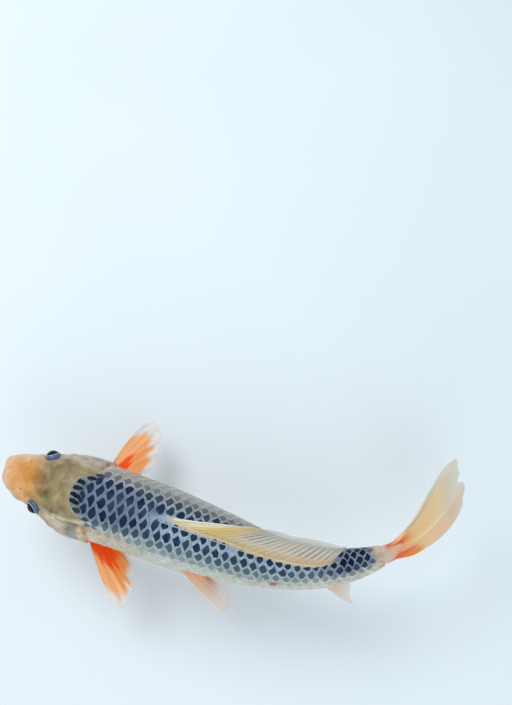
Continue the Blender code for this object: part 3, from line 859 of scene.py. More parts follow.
def make_skin(material):
    rows = np.concatenate([np.linspace(a, b, n, endpoint=False) for a, b, n in SKIN_ROWS])
    rows = np.append(rows, LAST_ROW)
    row, angle = np.meshgrid(rows, circle(SKIN_ROUND) - math.pi, indexing="ij")
    along = smooth_at(row, np.arange(len(SECTIONS)), SECTIONS[:, 0])
    points = on_rows(row, angle)
    points = points + rows_normal(row, angle) * skin_relief(row, along, angle, points)[..., None]
    points = np.concatenate([points, list(make_stub(points[-1]))])
    further = np.linspace(0.002, STUB_REACH / LENGTH, STUB_RINGS)[:, None]
    along = np.concatenate([along, along[-1:] + further])
    row, angle = (np.concatenate([a, a[-1:].repeat(STUB_RINGS, 0)]) for a in (row, angle))

    # The layout: the skin unrolled, and a disc for the cap at each end
    rings = len(points)
    i, j = np.divmod(np.arange((rings - 1) * SKIN_ROUND), SKIN_ROUND)
    u = part_way(SKIN_U, np.stack([i, i, i + 1, i + 1], 1) / (rings - 1))
    v = part_way(SKIN_V, np.stack([j, j + 1, j + 1, j], 1) / SKIN_ROUND)
    turns = circle(SKIN_ROUND)
    disc = np.stack([np.cos(turns), np.sin(turns)], 1) * CAP_RADIUS
    caps = [disc[::-1] + (CAP_U, 0.25), disc + (CAP_U, 0.75)]
    uv = np.concatenate([np.stack([u, v], -1).reshape(-1, 2), *caps])

    bare = fades(along - scales_start(angle), -0.002, 0.004)
    bare = bare * (0.5 + 0.5 * between(along, 0.06, 0.11))
    tint = mix(body_colour(along, angle), rgb(70, 30, 26), fades(row, 1.2, 2.4))
    faces = ring_faces(rings, SKIN_ROUND)
    made = make_mesh("koi_skin", points, faces, material, {"tint": tint}, {"bare": bare}, uv)
    nodes = ("mouth", "head", "gill_cover_left", "gill_cover_right", "trunk", "tail_stalk")
    dress(made, "head_skin", *nodes)


# ---------------------------------------------------------------- the scales
SCALE_PITCH = ((0.15, 0.0066), (0.25, 0.0070), (0.50, 0.0065), (0.80, 0.0060), (1.00, 0.0054))
ROW_PITCH = (
    (0.15, 0.0066), (0.25, 0.0073), (0.50, 0.0069), (0.60, 0.0061), (0.70, 0.0057),
    (0.80, 0.0052), (0.90, 0.0046), (1.00, 0.0042),
)
# How many rows the dorsal fin's root takes up on each side
FIN_GAP = (
    (0.15, 0), (0.36, 0), (0.46, 0.34), (0.76, 0.33), (0.80, 0.58), (0.83, 0.5), (0.89, 0), (1, 0),
)
SCALE_ROWS, SCALE_COLUMNS = 9, 11
SCALE_THICK = 0.00028
SCALE_REACH = 1.42  # length of a scale with its hidden root, in pitches
# A scale's grid runs from its hidden root to its tip, and from side to side
OUTWARD = np.linspace(0, 1, SCALE_ROWS)[:, None]
SIDEWAYS = np.linspace(-1, 1, SCALE_COLUMNS)[None, :]
NAPE_STEP, NAPE_PITCH = 0.0046, 0.0080  # of the narrow scales along the nape
# One scale of the back is pale: its along and distance from the middle, and how near to look for it
PALE_SCALE, PALE_REACH = (0.594, -0.0050), 0.0032
FIN_ROOT_FROM, FIN_ROOT_TO = 0.41, 0.86
FIN_ROOT_HALF = 0.0017
BESIDE_FIN, NEXT_TO_FIN = 0.009, 0.0056  # how far from the middle line two kinds of scales reach
ROWS_A_SIDE, SCALES_A_ROW = 17, 46
FIRST_BEHIND = (0.038, 0.018)  # how far the coat's first tips lie behind its edge, on top and beside
ALONG_JITTER, ARC_JITTER = 0.0008, 0.00018
COUNTED_ALONG = np.linspace(0.12, 1.02, 1801)
# The layout: the coat unrolled, along from a start over a span, and how full each scale's room is
LAYOUT_START, LAYOUT_SPAN, NAPE_SHIFT = 0.13, 0.88, 0.03
SCALES_U, SCALES_V = (0.02, 0.98), (0.5, 0.98)
ROOM_SHARE = 0.96


def row_middle(along, number):
    """Distance from the back's middle line to a row of scales."""
    return np.maximum(number - np.interp(along, *zip(*FIN_GAP)), 0) * table(along, ROW_PITCH)


def scale_colours(along, arc, nape):
    """The darkest and the lighter colour inside a scale's dark middle, greyed on the far side as
    painted shade.
    """
    if nape:
        return rgb(4, 16, 28), rgb(24, 44, 56)
    rear = between(along, 0.78, 0.86)
    middle = between(along, 0.34, 0.46)
    # Painted shade: on the far side the dark middles turn greyer and less blue
    side = between(arc, 0.006, 0.014) * middle
    core = laid(rgb(6, 28, 54), (rgb(12, 40, 62), middle), (rgb(0, 12, 40), rear))
    deep = laid(rgb(28, 52, 88), (rgb(48, 78, 108), middle), (rgb(12, 30, 64), rear))
    return mix(core, rgb(30, 40, 48), side), mix(deep, rgb(72, 82, 92), side)


class Scale:
    """One scale: a grid of points from its hidden root to its rounded tip, and how it looks.

    jitter and tone are its random numbers, and arcs and angle say where its points lie.
    """

    def __init__(self, along, arc, pitch, width, side, rng, nape=False):
        self.along, self.arc, self.pitch, self.width = along, arc, pitch, width
        self.side, self.nape = side, nape
        self.jitter, self.tone = rng.normal(), rng.normal()
        self.middle = along - 0.5 * pitch / LENGTH
        size = 1 + 0.03 * self.jitter
        bow = np.abs(SIDEWAYS) ** 1.9 * pitch * 0.54 * size
        self.x = part_way((-SCALE_REACH * pitch + 0.25 * bow, -bow), OUTWARD)
        y = SIDEWAYS * width * 1.02 * size * (1 - 0.25 * between(-self.x / pitch, 1.2, 1.5))
        self.place = along + self.x / LENGTH
        # The rows draw together and apart along the body, and each scale follows its row
        self.drift = table(self.place, ROW_PITCH) / table(along, ROW_PITCH)
        self.arcs = (arc + y) * self.drift
        if self.beside_fin(BESIDE_FIN):
            # The scales stop at the dorsal fin's root
            inner = FIN_ROOT_HALF * ease((self.place - FIN_ROOT_FROM) / 0.03) * side
            out = self.arcs - inner
            self.arcs = inner + np.where(out * side < 0, out * 0.04, out)
        self.angle = angle_of_arc(self.place, self.arcs)

    def beside_fin(self, within):
        return FIN_ROOT_FROM < self.along < FIN_ROOT_TO and abs(self.arc) < within

    def points(self):
        """The front and the back, which rise from under the scales before them."""
        rise = 1 + self.x / (SCALE_REACH * self.pitch)
        height = -0.00050 + 0.00066 * rise - 0.00010 * between(OUTWARD, 0.93, 1.0)
        height = height + 0.00016 * (1 - SIDEWAYS**2) * between(rise, 0.2, 0.8)
        base, normal = on_skin(self.place, self.angle), skin_normal(self.place, self.angle)
        return [base + normal * (height - depth)[..., None] for depth in (0, SCALE_THICK)]

    def colours(self):
        core, deep = scale_colours(self.middle, self.arc, self.nape)
        tint = body_colour(self.place, self.angle) * (1 + 0.05 * self.tone)
        if self.beside_fin(NEXT_TO_FIN):
            root = fades(np.abs(self.arcs), 0.0020, 0.0040) * between(self.along, 0.44, 0.47)
            tint = mix(tint, rgb(204, 184, 164), 0.7 * root)
            deep = 0.5 * (core + deep)
        tint = mix(tint, rgb(124, 138, 134), 0.8 * self.nape)
        bright = 1 + 0.10 * self.jitter + 0.5 * max(self.tone - 1.1, 0)
        return {"tint": tint, "core": core + 0 * tint, "deep": deep * bright + 0 * tint}

    def middle_halves(self):
        """Half the length and half the width of the dark middle, in pitches and widths."""
        if self.nape:
            return 0.56, 0.76
        if self.beside_fin(NEXT_TO_FIN) and self.side < 0:
            return 0.36, 0.43
        rear = 0.04 * between(self.along, 0.84, 0.88)
        return 0.40 + rear, 0.59 + rear - 0.03 * fades(self.along, 0.38, 0.46)

    def numbers(self):
        """How dark the middle is, the distance from the rim, and the place within the middle."""
        dark = darkness(self.middle, self.arc) * (1 + 0.05 * self.tone)
        off_pale = ((self.middle - PALE_SCALE[0]) * LENGTH, self.arc - PALE_SCALE[1])
        dark = dark * (0.2 if math.hypot(*off_pale) < PALE_REACH else 1.0)
        long_half, wide_half = self.middle_halves()
        slant = 0.22 * math.sin(7.0 * self.jitter + 3.0 * self.tone) * SIDEWAYS
        ahead = (-self.x / self.pitch - 0.56) / (long_half * (1 + 0.07 * self.tone)) + slant
        across = np.abs(self.arcs / self.drift - self.arc)
        return {
            "dark": np.clip(dark, 0, 1) + 0 * self.x,
            "rim": (self.x[-1:] - self.x) * 1000,
            "ahead": ahead,
            "across": across / (self.width * wide_half * (1 - 0.05 * self.tone)),
        }

    def unrolled(self, layout):
        """The plate's flat layout, brought to the scale's own room on the unrolled body."""
        girth = half_girth(self.along)
        room = (self.pitch / LENGTH, LAYOUT_SPAN * self.width / (2 * girth))
        from_start = self.middle - self.nape * NAPE_SHIFT - LAYOUT_START
        centre = (
            part_way(SCALES_U, from_start / LAYOUT_SPAN),
            part_way(SCALES_V, self.arc / girth),
        )
        return (layout - 0.5) * room * ROOM_SHARE + centre


def place_scales():
    """All scales, row by row and then along the nape; the order keeps the random draws steady."""
    rng = np.random.default_rng(SEED)
    fine = COUNTED_ALONG
    counted = np.append(0, np.cumsum(LENGTH / table(fine[1:], SCALE_PITCH)) * (fine[1] - fine[0]))
    scales = []
    for number in range(ROWS_A_SIDE):
        for side in (-1, 1) if number else (1,):
            for step in range(SCALES_A_ROW):
                along = np.interp(step + 0.5 * (number % 2), counted, fine)
                along = along + rng.normal() * ALONG_JITTER
                arc = side * row_middle(along, number) + rng.normal() * ARC_JITTER
                width = table(along, ROW_PITCH)
                angle = angle_of_arc(along, arc)
                behind = part_way(FIRST_BEHIND, between(abs(angle), 0.55, 0.8))
                start = scales_start(angle) + behind
                under_fin = number == 0 and 0.412 < along < 0.866
                beyond = along > SCALES_TO or abs(arc) > half_girth(along) - 0.30 * width
                if not (beyond or along < start or under_fin):
                    scales.append(Scale(along, arc, table(along, SCALE_PITCH), width, side, rng))
    # Narrow scales along the nape, where the coat begins
    for step in range(-4, 5):
        arc = step * NAPE_STEP + rng.normal() * 0.0004
        along = scales_start(angle_of_arc(0.21, arc)) + 0.0300 + rng.normal() * 0.0018
        pitch = NAPE_PITCH * (1 + 0.12 * rng.normal())
        side = -1 if step < 0 else 1
        scales.append(Scale(along, arc, pitch, NAPE_STEP * 0.54, side, rng, nape=True))
    return scales


def front_and_back(values):
    """Each named value of every scale, given once for its front and once for its back."""
    return {key: np.repeat([named[key] for named in values], 2, axis=0) for key in values[0]}


def make_scales(material):
    plate, layout = plate_faces(SCALE_ROWS, SCALE_COLUMNS)
    scales = place_scales()
    for name, side in SIDES:
        chosen = [scale for scale in scales if scale.side == side]
        points = [scale.points() for scale in chosen]
        shifts = np.arange(len(chosen))[:, None, None] * 2 * SCALE_ROWS * SCALE_COLUMNS
        faces = (plate + shifts).reshape(-1, 4)
        colours = front_and_back([scale.colours() for scale in chosen])
        numbers = front_and_back([scale.numbers() for scale in chosen])
        uv = [scale.unrolled(layout) for scale in chosen]
        made = make_mesh(f"koi_scales_{name}", points, faces, material, colours, numbers, uv)
        dress(made, "scaled_skin")


# ---------------------------------------------------------------- fins
FIN_STEPS = 56
RAY_SAMPLES = 8
SINK = 0.0016  # how far a fin's root runs into the body
# Each table runs over the fin from its first ray to its last: lengths in shares of the body's
# length, rakes and leans in degrees
DORSAL_ALONG = (0.418, 0.825)
DORSAL_LENGTH = ((0, 0.162), (0.06, 0.180), (0.2, 0.157), (0.5, 0.117), (0.8, 0.091), (1, 0.064))
DORSAL_RAKE = ((0, 75), (0.1, 71), (0.3, 62), (0.6, 50), (1, 44))
DORSAL_LEAN = ((0, 52), (0.3, 56), (0.6, 60), (0.85, 50), (1, 38))
ANAL_ALONG = (0.770, 0.850)
ANAL_LENGTH = ((0, 0.125), (0.15, 0.145), (0.5, 0.105), (1, 0.050))
ANAL_RAKE = ((0, 52), (1, 40))
ANAL_LEAN = 50
# Paired fins: where the root runs along and around, the lengths, and for each side the rakes of
# the first and the last ray, the droop, and how much further back a ray turns to its tip
PECTORAL = {
    "along": (0.237, 0.273),
    "angle": (129, 142),
    "lengths": ((0, 0.180), (0.12, 0.204), (0.30, 0.196), (0.7, 0.136), (1, 0.084)),
    "left": (30, 58, 14, 14),
    "right": (-4, 24, 30, 24),
}
PELVIC = {
    "along": (0.435, 0.468),
    "angle": (146, 158),
    "lengths": ((0, 0.202), (0.15, 0.208), (0.6, 0.162), (1, 0.108)),
    "left": (52, 76, 14, 14),
    "right": (66, 82, 66, 14),
}
TAIL_REACH = 0.279
TAIL_START = 0.975
TAIL_ROOT = (-0.056, 0.054)
TAIL_SPREAD = math.radians(24)
TAIL_LENGTH_UPPER = (
    (0, 0.150), (0.04, 0.222), (0.09, 0.258), (0.15, 0.275), (0.22, 0.279), (0.33, 0.264), (0.5, 0.228),
)
TAIL_LENGTH_LOWER = (
    (0, 0.140), (0.04, 0.196), (0.09, 0.226), (0.15, 0.242), (0.22, 0.249), (0.33, 0.246), (0.5, 0.228),
)
TAIL_LEAN_UPPER = ((0, 18), (0.25, 25), (0.5, 30), (0.75, 29), (1, 23))
TAIL_LEAN_LOWER = ((0, 20), (0.15, 26), (0.3, 26), (0.5, 26), (0.75, 22), (1, 13))


def grow_ray(root, out, back, over, length, rake, lean, upright=0.0, sweep=0.0):
    """Points of a ray that rakes back and leans over; up to upright it leans less."""
    points = [root]
    for share in (np.arange(FIN_STEPS) + 0.5) / FIN_STEPS:
        turn = math.radians(rake + sweep * share)
        leant = math.radians(lean * (ease(share / upright) if upright else 1.0))
        way = math.cos(turn) * (math.cos(leant) * out + math.sin(leant) * over)
        points.append(points[-1] + (way + math.sin(turn) * back) * length / FIN_STEPS)
    return points


def dorsal_ray(share):
    """share runs from the dorsal fin's first ray to its last, as for the other fins."""
    along = part_way(DORSAL_ALONG, share)
    back, right, up = directions(along * LENGTH)
    root = on_skin(along, angle_of_arc(along, 0.0)) - up * SINK
    length = table(share, DORSAL_LENGTH) * LENGTH + SINK
    rake, lean = table(share, DORSAL_RAKE), table(share, DORSAL_LEAN)
    return grow_ray(root, up, back, right, length, rake, lean, 0.12)


def anal_ray(share):
    along = part_way(ANAL_ALONG, share)
    back, right, up = directions(along * LENGTH)
    root = on_skin(along, math.pi) + up * SINK
    length = table(share, ANAL_LENGTH) * LENGTH + SINK
    return grow_ray(root, -up, back, -right, length, table(share, ANAL_RAKE), ANAL_LEAN, 0.4)


def paired_ray(share, fin, side, sign):
    first, last, droop, sweep = fin[side]
    along = part_way(fin["along"], share)
    angle = sign * math.radians(part_way(fin["angle"], share))
    back, right = level_directions(along * LENGTH)
    start = on_skin(along, angle) - skin_normal(along, angle) * SINK
    length = table(share, fin["lengths"]) * LENGTH + SINK
    rake = part_way((first, last), share)
    return grow_ray(start, right * sign, back, -UP, length, rake, droop, sweep=sweep)


def tail_ray(share):
    """share runs from the upper edge of the tail fin to its lower edge."""
    across = 1 - 2 * share
    full = TAIL_REACH * LENGTH
    hidden = LENGTH * (1 - TAIL_START)
    lengths = TAIL_LENGTH_UPPER if across > 0 else TAIL_LENGTH_LOWER
    length = table((1 - abs(across)) / 2, lengths) * LENGTH + hidden
    reach = length * np.linspace(0, 1, FIN_STEPS + 1)
    past = np.maximum(reach - hidden, 0.0)
    spread = TAIL_SPREAD * across
    level = part_way(TAIL_ROOT, (across + 1) / 2) * LENGTH
    level = level + past * math.sin(spread) * (1.15 - 0.25 * past / full)
    level = level * (0.94 + 0.06 * np.minimum(past / 0.01, 1.0))
    outer = np.minimum(past / full, 1.0)
    lean = np.where(level > 0, table(outer, TAIL_LEAN_UPPER), table(outer, TAIL_LEAN_LOWER))
    lean = np.radians(lean)[:, None]
    s = LENGTH * TAIL_START + reach * math.cos(spread)
    right = level_directions(s)[1]
    return spine(s) + (UP * np.cos(lean) + right * np.sin(lean)) * level[:, None]


def make_fin(name, ray_at, paint, finish, rays, thick, split, notch, wave=0.0):
    """A fin of ribbed rays and thin web, each ray forking from split on, with a notched edge."""
    samples = (rays - 1) * RAY_SAMPLES + 1
    shares, steps = np.linspace(0, 1, samples), np.linspace(0, 1, FIN_STEPS + 1)
    across, out = np.meshgrid(shares, steps, indexing="ij")
    number = across * (rays - 1)
    gap = np.abs(number - np.round(number)) * 2  # 0 on a ray, 1 halfway between two
    # The edge is cut back between the rays and a little uneven
    rng = np.random.default_rng(SEED + len(name))
    jag = np.interp(number, np.arange(rays), rng.uniform(-1, 1, rays))
    cut = notch * gap**2 + notch * 0.35 * jag
    steps = out * (1 - cut * out**3) * FIN_STEPS
    low = np.clip(steps.astype(int), 0, FIN_STEPS - 1)
    part = (steps - low)[..., None]
    index = np.arange(samples)[:, None]
    grid = np.array([ray_at(share) for share in shares])
    grid = grid[index, low] * (1 - part) + grid[index, low + 1] * part
    normals = unit(np.cross(np.gradient(grid, axis=0), np.gradient(grid, axis=1)))
    # Each ray is one rib that forks into two
    rib = part_way((bump(gap, 0.55), bump(gap - 0.42, 0.26)), between(out, split, split + 0.25))
    root, tip, edge = thick
    web_thick = part_way((edge, root), (1 - out) ** 1.6)
    rib_thick = part_way((tip, root * 0.5), 1 - out) * rib * (1 - 0.85 * between(out, 0.70, 0.92))
    half = (web_thick + rib_thick) / 2 * (1 - 0.35 * between(out, 0.93, 1.0))
    half = normals * half[..., None]
    grid = grid + normals * (np.sin(number * 1.9 + 1.3) * wave * out**2)[..., None]
    faces, uv = plate_faces(samples, FIN_STEPS + 1)
    tint, streak, solidity = (np.concatenate([a, a]) for a in paint(across, out, rib, number, gap))
    colours, numbers = {"tint": tint, "streak": streak}, {"solidity": solidity}
    points = np.concatenate([grid + half, grid - half])
    material, slot = finish
    made = make_mesh(f"koi_{name}", points, faces, material, colours, numbers, uv)
    dress(made, slot, name)


def hashed(number, salt):
    """A steady random share for each whole number."""
    value = np.sin(number * 12.9898 + salt * 78.233) * 43758.5453
    return value - np.floor(value)


FLAME = rgb(255, 84, 0)
DEEP_ORANGE = rgb(255, 138, 14)
ORANGE = rgb(255, 160, 76)
SALMON = rgb(255, 192, 142)
MILK = rgb(236, 226, 214)
CREAM = rgb(232, 218, 190)
STRAW = rgb(216, 186, 118)
SLIT = rgb(94, 104, 108)
RAY_GREY = rgb(198, 192, 180)
# How far out the red reaches on the near and the far pectoral fin, and the orange on both
FLAME_TO = {
    "left": ((0, 0.28), (0.1, 0.34), (0.3, 0.44), (0.42, 0.60), (0.6, 0.64), (0.8, 0.60), (1, 0.45)),
    "right": ((0, 0.05), (0.2, 0.14), (0.3, 0.32), (0.42, 0.50), (0.55, 0.36), (0.8, 0.26), (1, 0.1)),
}
COLOUR_TO = ((0, 0.82), (0.15, 0.86), (0.5, 0.92), (0.8, 0.90), (1, 0.84))


# Each paint gives a fin's tint, its streaks and how solid it is. across runs from its first ray to
# its last, out from root to edge, rib is 1 on a rib, and gap is 1 halfway between two rays.
def paint_pectoral(across, out, rib, number, gap, side):
    ray, web = np.round(number), np.floor(number)
    jag = 0.16 * (hashed(ray, 3) - 0.5)
    deep = np.interp(across, *zip(*FLAME_TO[side])) + jag
    flame = fades(out, deep - 0.08, deep + 0.06)
    ends = np.interp(across, *zip(*COLOUR_TO)) - 0.06 * (side == "right") + jag
    coloured = fades(out, ends - 0.12, ends + 0.03)
    strong = between(hashed(ray, 5), 0.30, 0.60) * between(across, 0.22, 0.34)
    strong = strong * (0.45 if side == "right" else 1.0)
    ridge = np.clip(rib * 1.15, 0, 1)
    brown = bump(gap - 1, 0.30) * between(hashed(web, 9), 0.15, 0.5) * between(out, 0.30, 0.60)
    hot = mix(FLAME, DEEP_ORANGE, between(across, 0.58, 0.95) * between(out, 0.15, 0.5))
    tint = laid(
        MILK,
        (SALMON, coloured),
        (ORANGE, coloured * (0.25 + 0.75 * strong) * ridge),
        (DEEP_ORANGE, coloured * strong * ridge * 0.9),
        (rgb(200, 92, 30), coloured * brown * 0.60),
        (hot, flame * (0.90 + 0.10 * ridge)),
        (rgb(170, 52, 16), fades(across, 0.0, 0.03) * fades(out, 0.25, 0.4) * 0.8),
    )
    solidity = 0.97 - 0.60 * (1 - coloured) * (0.7 + 0.3 * between(out, 0.85, 1.0))
    return tint, mix(tint, rgb(255, 176, 110), 0.35 * coloured), solidity


def paint_pelvic(across, out, rib, number, gap):
    front = fades(across, 0.40, 0.75)
    web = hashed(np.floor(number), 4)
    brown = bump(gap - 1, 0.35) * between(across, 0.2, 0.35) * window(out, 0.35, 0.50, 0.72, 0.85)
    spot = bump(across - 0.47, 0.07) * bump(out - 0.64, 0.09)
    tint = laid(
        MILK,
        (rgb(255, 208, 176), fades(out, 0.50, 0.85) * (0.45 + 0.55 * front)),
        (rgb(254, 180, 138), fades(out, 0.10, 0.55) * (0.5 + 0.4 * front)),
        (rgb(178, 112, 70), brown * (0.25 + 0.6 * web)),
        (rgb(252, 242, 230), fades(across, 0.0, 0.06) * between(out, 0.3, 0.6)),
        (rgb(206, 122, 58), spot * 0.85),
    )
    rear = between(across, 0.52, 0.75) * between(out, 0.25, 0.45)
    solidity = 0.94 - 0.66 * between(out, 0.40, 0.95) * (0.45 + 0.55 * between(across, 0.15, 0.5))
    return tint, mix(tint, MILK, 0.4), np.maximum(solidity + 0.3 * spot - 0.5 * rear, 0.24)


def paint_dorsal(across, out, rib, number, gap):
    web = hashed(np.floor(number), 12)
    slanted = across + 0.06 * out
    lead, front = fades(slanted, 0.10, 0.20), fades(slanted, 0.28, 0.38)
    begins = 0.36 - 0.10 * between(across, 0.6, 0.9) + 0.06 * web
    deeper = 0.6 * bump(across - 0.38, 0.11) + 0.5 * bump(across - 0.78, 0.07) + 0.4 * web
    slit = bump(gap - 1, 0.36) * window(out, begins - 0.08, begins + 0.06, 0.66, 0.86)
    slit = slit * np.clip(0.20 + deeper, 0, 1) * (1 - front)
    gold = bump(across - 0.22 + 0.05 * out, 0.10) * window(out, 0.05, 0.20, 0.55, 0.80)
    root = fades(out, 0.24, 0.36)
    spots = hashed(np.floor(number * 2), 6) * bump(out - 0.10, 0.07)
    fade = between(out, 0.60, 1.0)
    tint = laid(
        RAY_GREY,
        (CREAM, 0.30 * rib),
        (SLIT, slit * 0.90),
        (rgb(216, 196, 142), front * 0.9),
        (rgb(176, 152, 104), bump(gap - 1, 0.4) * front * 0.30 * between(out, 0.2, 0.4)),
        (STRAW, gold * 0.95),
        (rgb(204, 186, 146), root * (1 - front) * 0.85),
        (rgb(214, 176, 150), root * between(across, 0.65, 0.9) * 0.75),
        (rgb(186, 146, 92), spots * (1 - lead) * 0.55),
        (rgb(236, 224, 200), lead * (0.5 + 0.5 * between(out, 0.1, 0.3))),
        (rgb(200, 198, 190), fade * (1 - front) * 0.7),
    )
    return tint, mix(tint, CREAM, 0.30), 0.96 - 0.62 * fade * (1 - 0.6 * front) - 0.14 * slit


def paint_anal(across, out, rib, number, gap):
    tint = laid(
        MILK,
        (rgb(240, 206, 164), fades(out, 0.3, 0.95)),
        (rgb(240, 184, 132), fades(out, 0.1, 0.6) * 0.7),
        (rgb(196, 160, 120), bump(gap - 1, 0.3) * 0.2),
    )
    return tint, mix(tint, MILK, 0.4), 0.92 - 0.48 * between(out, 0.4, 1.0)


def paint_tail(across, out, rib, number, gap):
    jag = hashed(np.round(number), 7) - 0.5
    inner = fades(out, 0.4, 0.8)
    brown_to, hot_to = 0.18 + 0.08 * jag, 0.12 + 0.06 * jag
    brown = fades(across, 0.28, 0.44) * fades(out, brown_to, brown_to + 0.08)
    hot = fades(across, 0.24, 0.34) * fades(out, hot_to, hot_to + 0.08)
    ends = 0.26 + 0.16 * between(across, 0.75, 0.92) + 0.12 * jag
    lower = between(across, 0.62, 0.74) * fades(out, ends - 0.05, ends + 0.05)
    yellower = between(across, 0.78, 0.88) * between(out, 0.14, 0.24)
    margin = fades(across, 0.03, 0.14)
    fade = np.maximum(between(out, 0.60, 1.0), margin * between(out, 0.25, 0.45))
    tint = laid(
        rgb(240, 220, 190),
        (rgb(248, 208, 152), fades(out, 0.30, 0.90)),
        (rgb(246, 206, 172), between(across, 0.56, 0.66) * between(out, 0.30, 0.55) * 0.8),
        (rgb(226, 184, 122), rib * 0.25 * inner),
        (rgb(204, 166, 112), bump(gap - 1, 0.35) * 0.20 * inner),
        (rgb(246, 180, 134), fades(out, 0.20, 0.34) * 0.9),
        (rgb(250, 234, 204), bump(across - 0.55, 0.035) * 0.8 * between(out, 0.25, 0.4)),
        (rgb(228, 146, 66), brown * between(out, 0.08, 0.16) * 0.85),
        (rgb(228, 74, 30), hot * (0.7 + 0.3 * rib)),
        (mix(rgb(244, 96, 52), rgb(246, 136, 26), yellower), lower * (0.72 + 0.28 * rib)),
        (rgb(232, 226, 208), fade * 0.65),
    )
    solidity = 0.97 - (0.46 + 0.16 * margin) * fade * (1 - 0.3 * rib)
    return tint, mix(tint, rgb(244, 216, 170), 0.4), solidity


# Thickness of the web at the root, of the ribs at the edge and of the web at the edge
THIN_FIN = (0.0018, 0.00045, 0.00042)
TAIL_FIN = (0.0020, 0.00045, 0.00042)
PAIRED_FIN = (0.0024, 0.0006, 0.00045)


def make_fins():
    pale, red = (fin_material("koi_fin_pale"), "pale_fin"), (fin_material("koi_fin_red"), "red_fin")
    size = {"rays": 24, "thick": THIN_FIN, "split": 0.75, "notch": 0.02}
    make_fin("dorsal_fin", dorsal_ray, paint_dorsal, pale, **size)
    size = {"rays": 8, "thick": THIN_FIN, "split": 0.5, "notch": 0.03}
    make_fin("anal_fin", anal_ray, paint_anal, pale, **size)
    size = {"rays": 26, "thick": TAIL_FIN, "split": 0.35, "notch": 0.012, "wave": 0.0006}
    make_fin("tail_fin", tail_ray, paint_tail, pale, **size)
    for side in SIDES:

        def pectoral(share):
            return paired_ray(share, PECTORAL, *side)

        def pelvic(share):
            return paired_ray(share, PELVIC, *side)

        def paint(*spots):
            return paint_pectoral(*spots, side[0])

        size = {"rays": 16, "thick": PAIRED_FIN, "split": 0.45, "notch": 0.018, "wave": 0.0006}
        make_fin(f"pectoral_fin_{side[0]}", pectoral, paint, red, **size)
        size = {"rays": 10, "thick": PAIRED_FIN, "split": 0.4, "notch": 0.02}
        make_fin(f"pelvic_fin_{side[0]}", pelvic, paint_pelvic, red, **size)


# ---------------------------------------------------------------- eyes and barbels
EYE_RINGS, EYE_ROUND = 40, 64


def ball_faces(rings, around):
    """Faces of a ball that has one point at each pole and rings of points between them."""
    faces = [[0, 1 + j, 1 + (j + 1) % around] for j in range(around)]
    for a in range(1, (rings - 3) * around + 1, around):
        for j in range(around):
            k = (j + 1) % around
            faces.append([a + j, a + around + j, a + around + k, a + k])
    last = 1 + (rings - 3) * around
    for j in range(around):
        faces.append([last + j, last + around, last + (j + 1) % around])
    return faces


def make_eyes():
    material = eye_material()
    faces = ball_faces(EYE_RINGS, EYE_ROUND)
    poles = slice(EYE_ROUND - 1, 1 - EYE_ROUND)  # leaves one point of the first and the last ring
    theta = np.linspace(0, math.pi, EYE_RINGS).repeat(EYE_ROUND)[poles]
    turn = np.tile(circle(EYE_ROUND), EYE_RINGS)[poles]
    ball = np.stack([np.sin(theta) * np.cos(turn), np.sin(theta) * np.sin(turn), np.cos(theta)], 1)
    radius = EYE_RADIUS * (1 + 0.07 * bump(theta, 0.62))
    back = directions(EYE_ALONG * LENGTH)[0]
    for side, sign in SIDES:
        centre, outward = eye_spot(sign)
        gaze = unit(outward - 0.16 * back - 0.10 * UP)
        across = unit(np.cross(UP, gaze))
        ways = ball @ np.stack([across, np.cross(gaze, across), gaze])
        socket = np.degrees(np.arccos(np.clip(ways @ outward, -1, 1)))
        numbers = {"gaze": np.degrees(theta), "lift": ball[:, 1], "socket": socket}
        points = centre + ways * radius[:, None]
        made = make_mesh(f"koi_eye_{side}", points, faces, material, (), numbers)
        dress(made, "eye", f"eye_{side}")


# Which, along, angle in degrees, length and thickness
BARBELS = (("upper", 0.016, 116, 0.0060, 0.0012), ("lower", 0.036, 126, 0.0105, 0.0016))
BARBEL_RINGS, BARBEL_ROUND = 34, 16
BARBEL_SINK = 0.0012
THINNEST = 0.00004


def barbel_rings(along, angle, length, thickness):
    """A barbel curves back and down, swells at its root and ends rounded."""
    back = directions(along * LENGTH)[0]
    normal = skin_normal(along, angle)
    point = on_skin(along, angle) - normal * BARBEL_SINK
    turns = circle(BARBEL_ROUND)
    for share in np.linspace(0, 1, BARBEL_RINGS):
        way = unit(normal + back * 0.9 * share - UP * 1.3 * share)
        aside = unit(np.cross(way, UP))
        taper = math.sqrt(max(1 - max(share - 0.93, 0) / 0.072, 0.0))
        radius = thickness / 2 * (1 - 0.55 * share) * taper * (1 + 0.5 * math.exp(-share * 9))
        ring = np.outer(np.cos(turns), aside) + np.outer(np.sin(turns), np.cross(way, aside))
        yield point + ring * max(radius, THINNEST)
        point = point + way * (length + BARBEL_SINK) / (BARBEL_RINGS - 1)


def make_barbels():
    material = barbel_material()
    faces = ring_faces(BARBEL_RINGS, BARBEL_ROUND)
    for kind, along, degrees, length, thickness in BARBELS:
        for side, sign in SIDES:
            rings = list(barbel_rings(along, sign * math.radians(degrees), length, thickness))
            made = make_mesh(f"koi_barbel_{kind}_{side}", rings, faces, material)
            dress(made, "snout", f"barbel_{kind}_{side}")


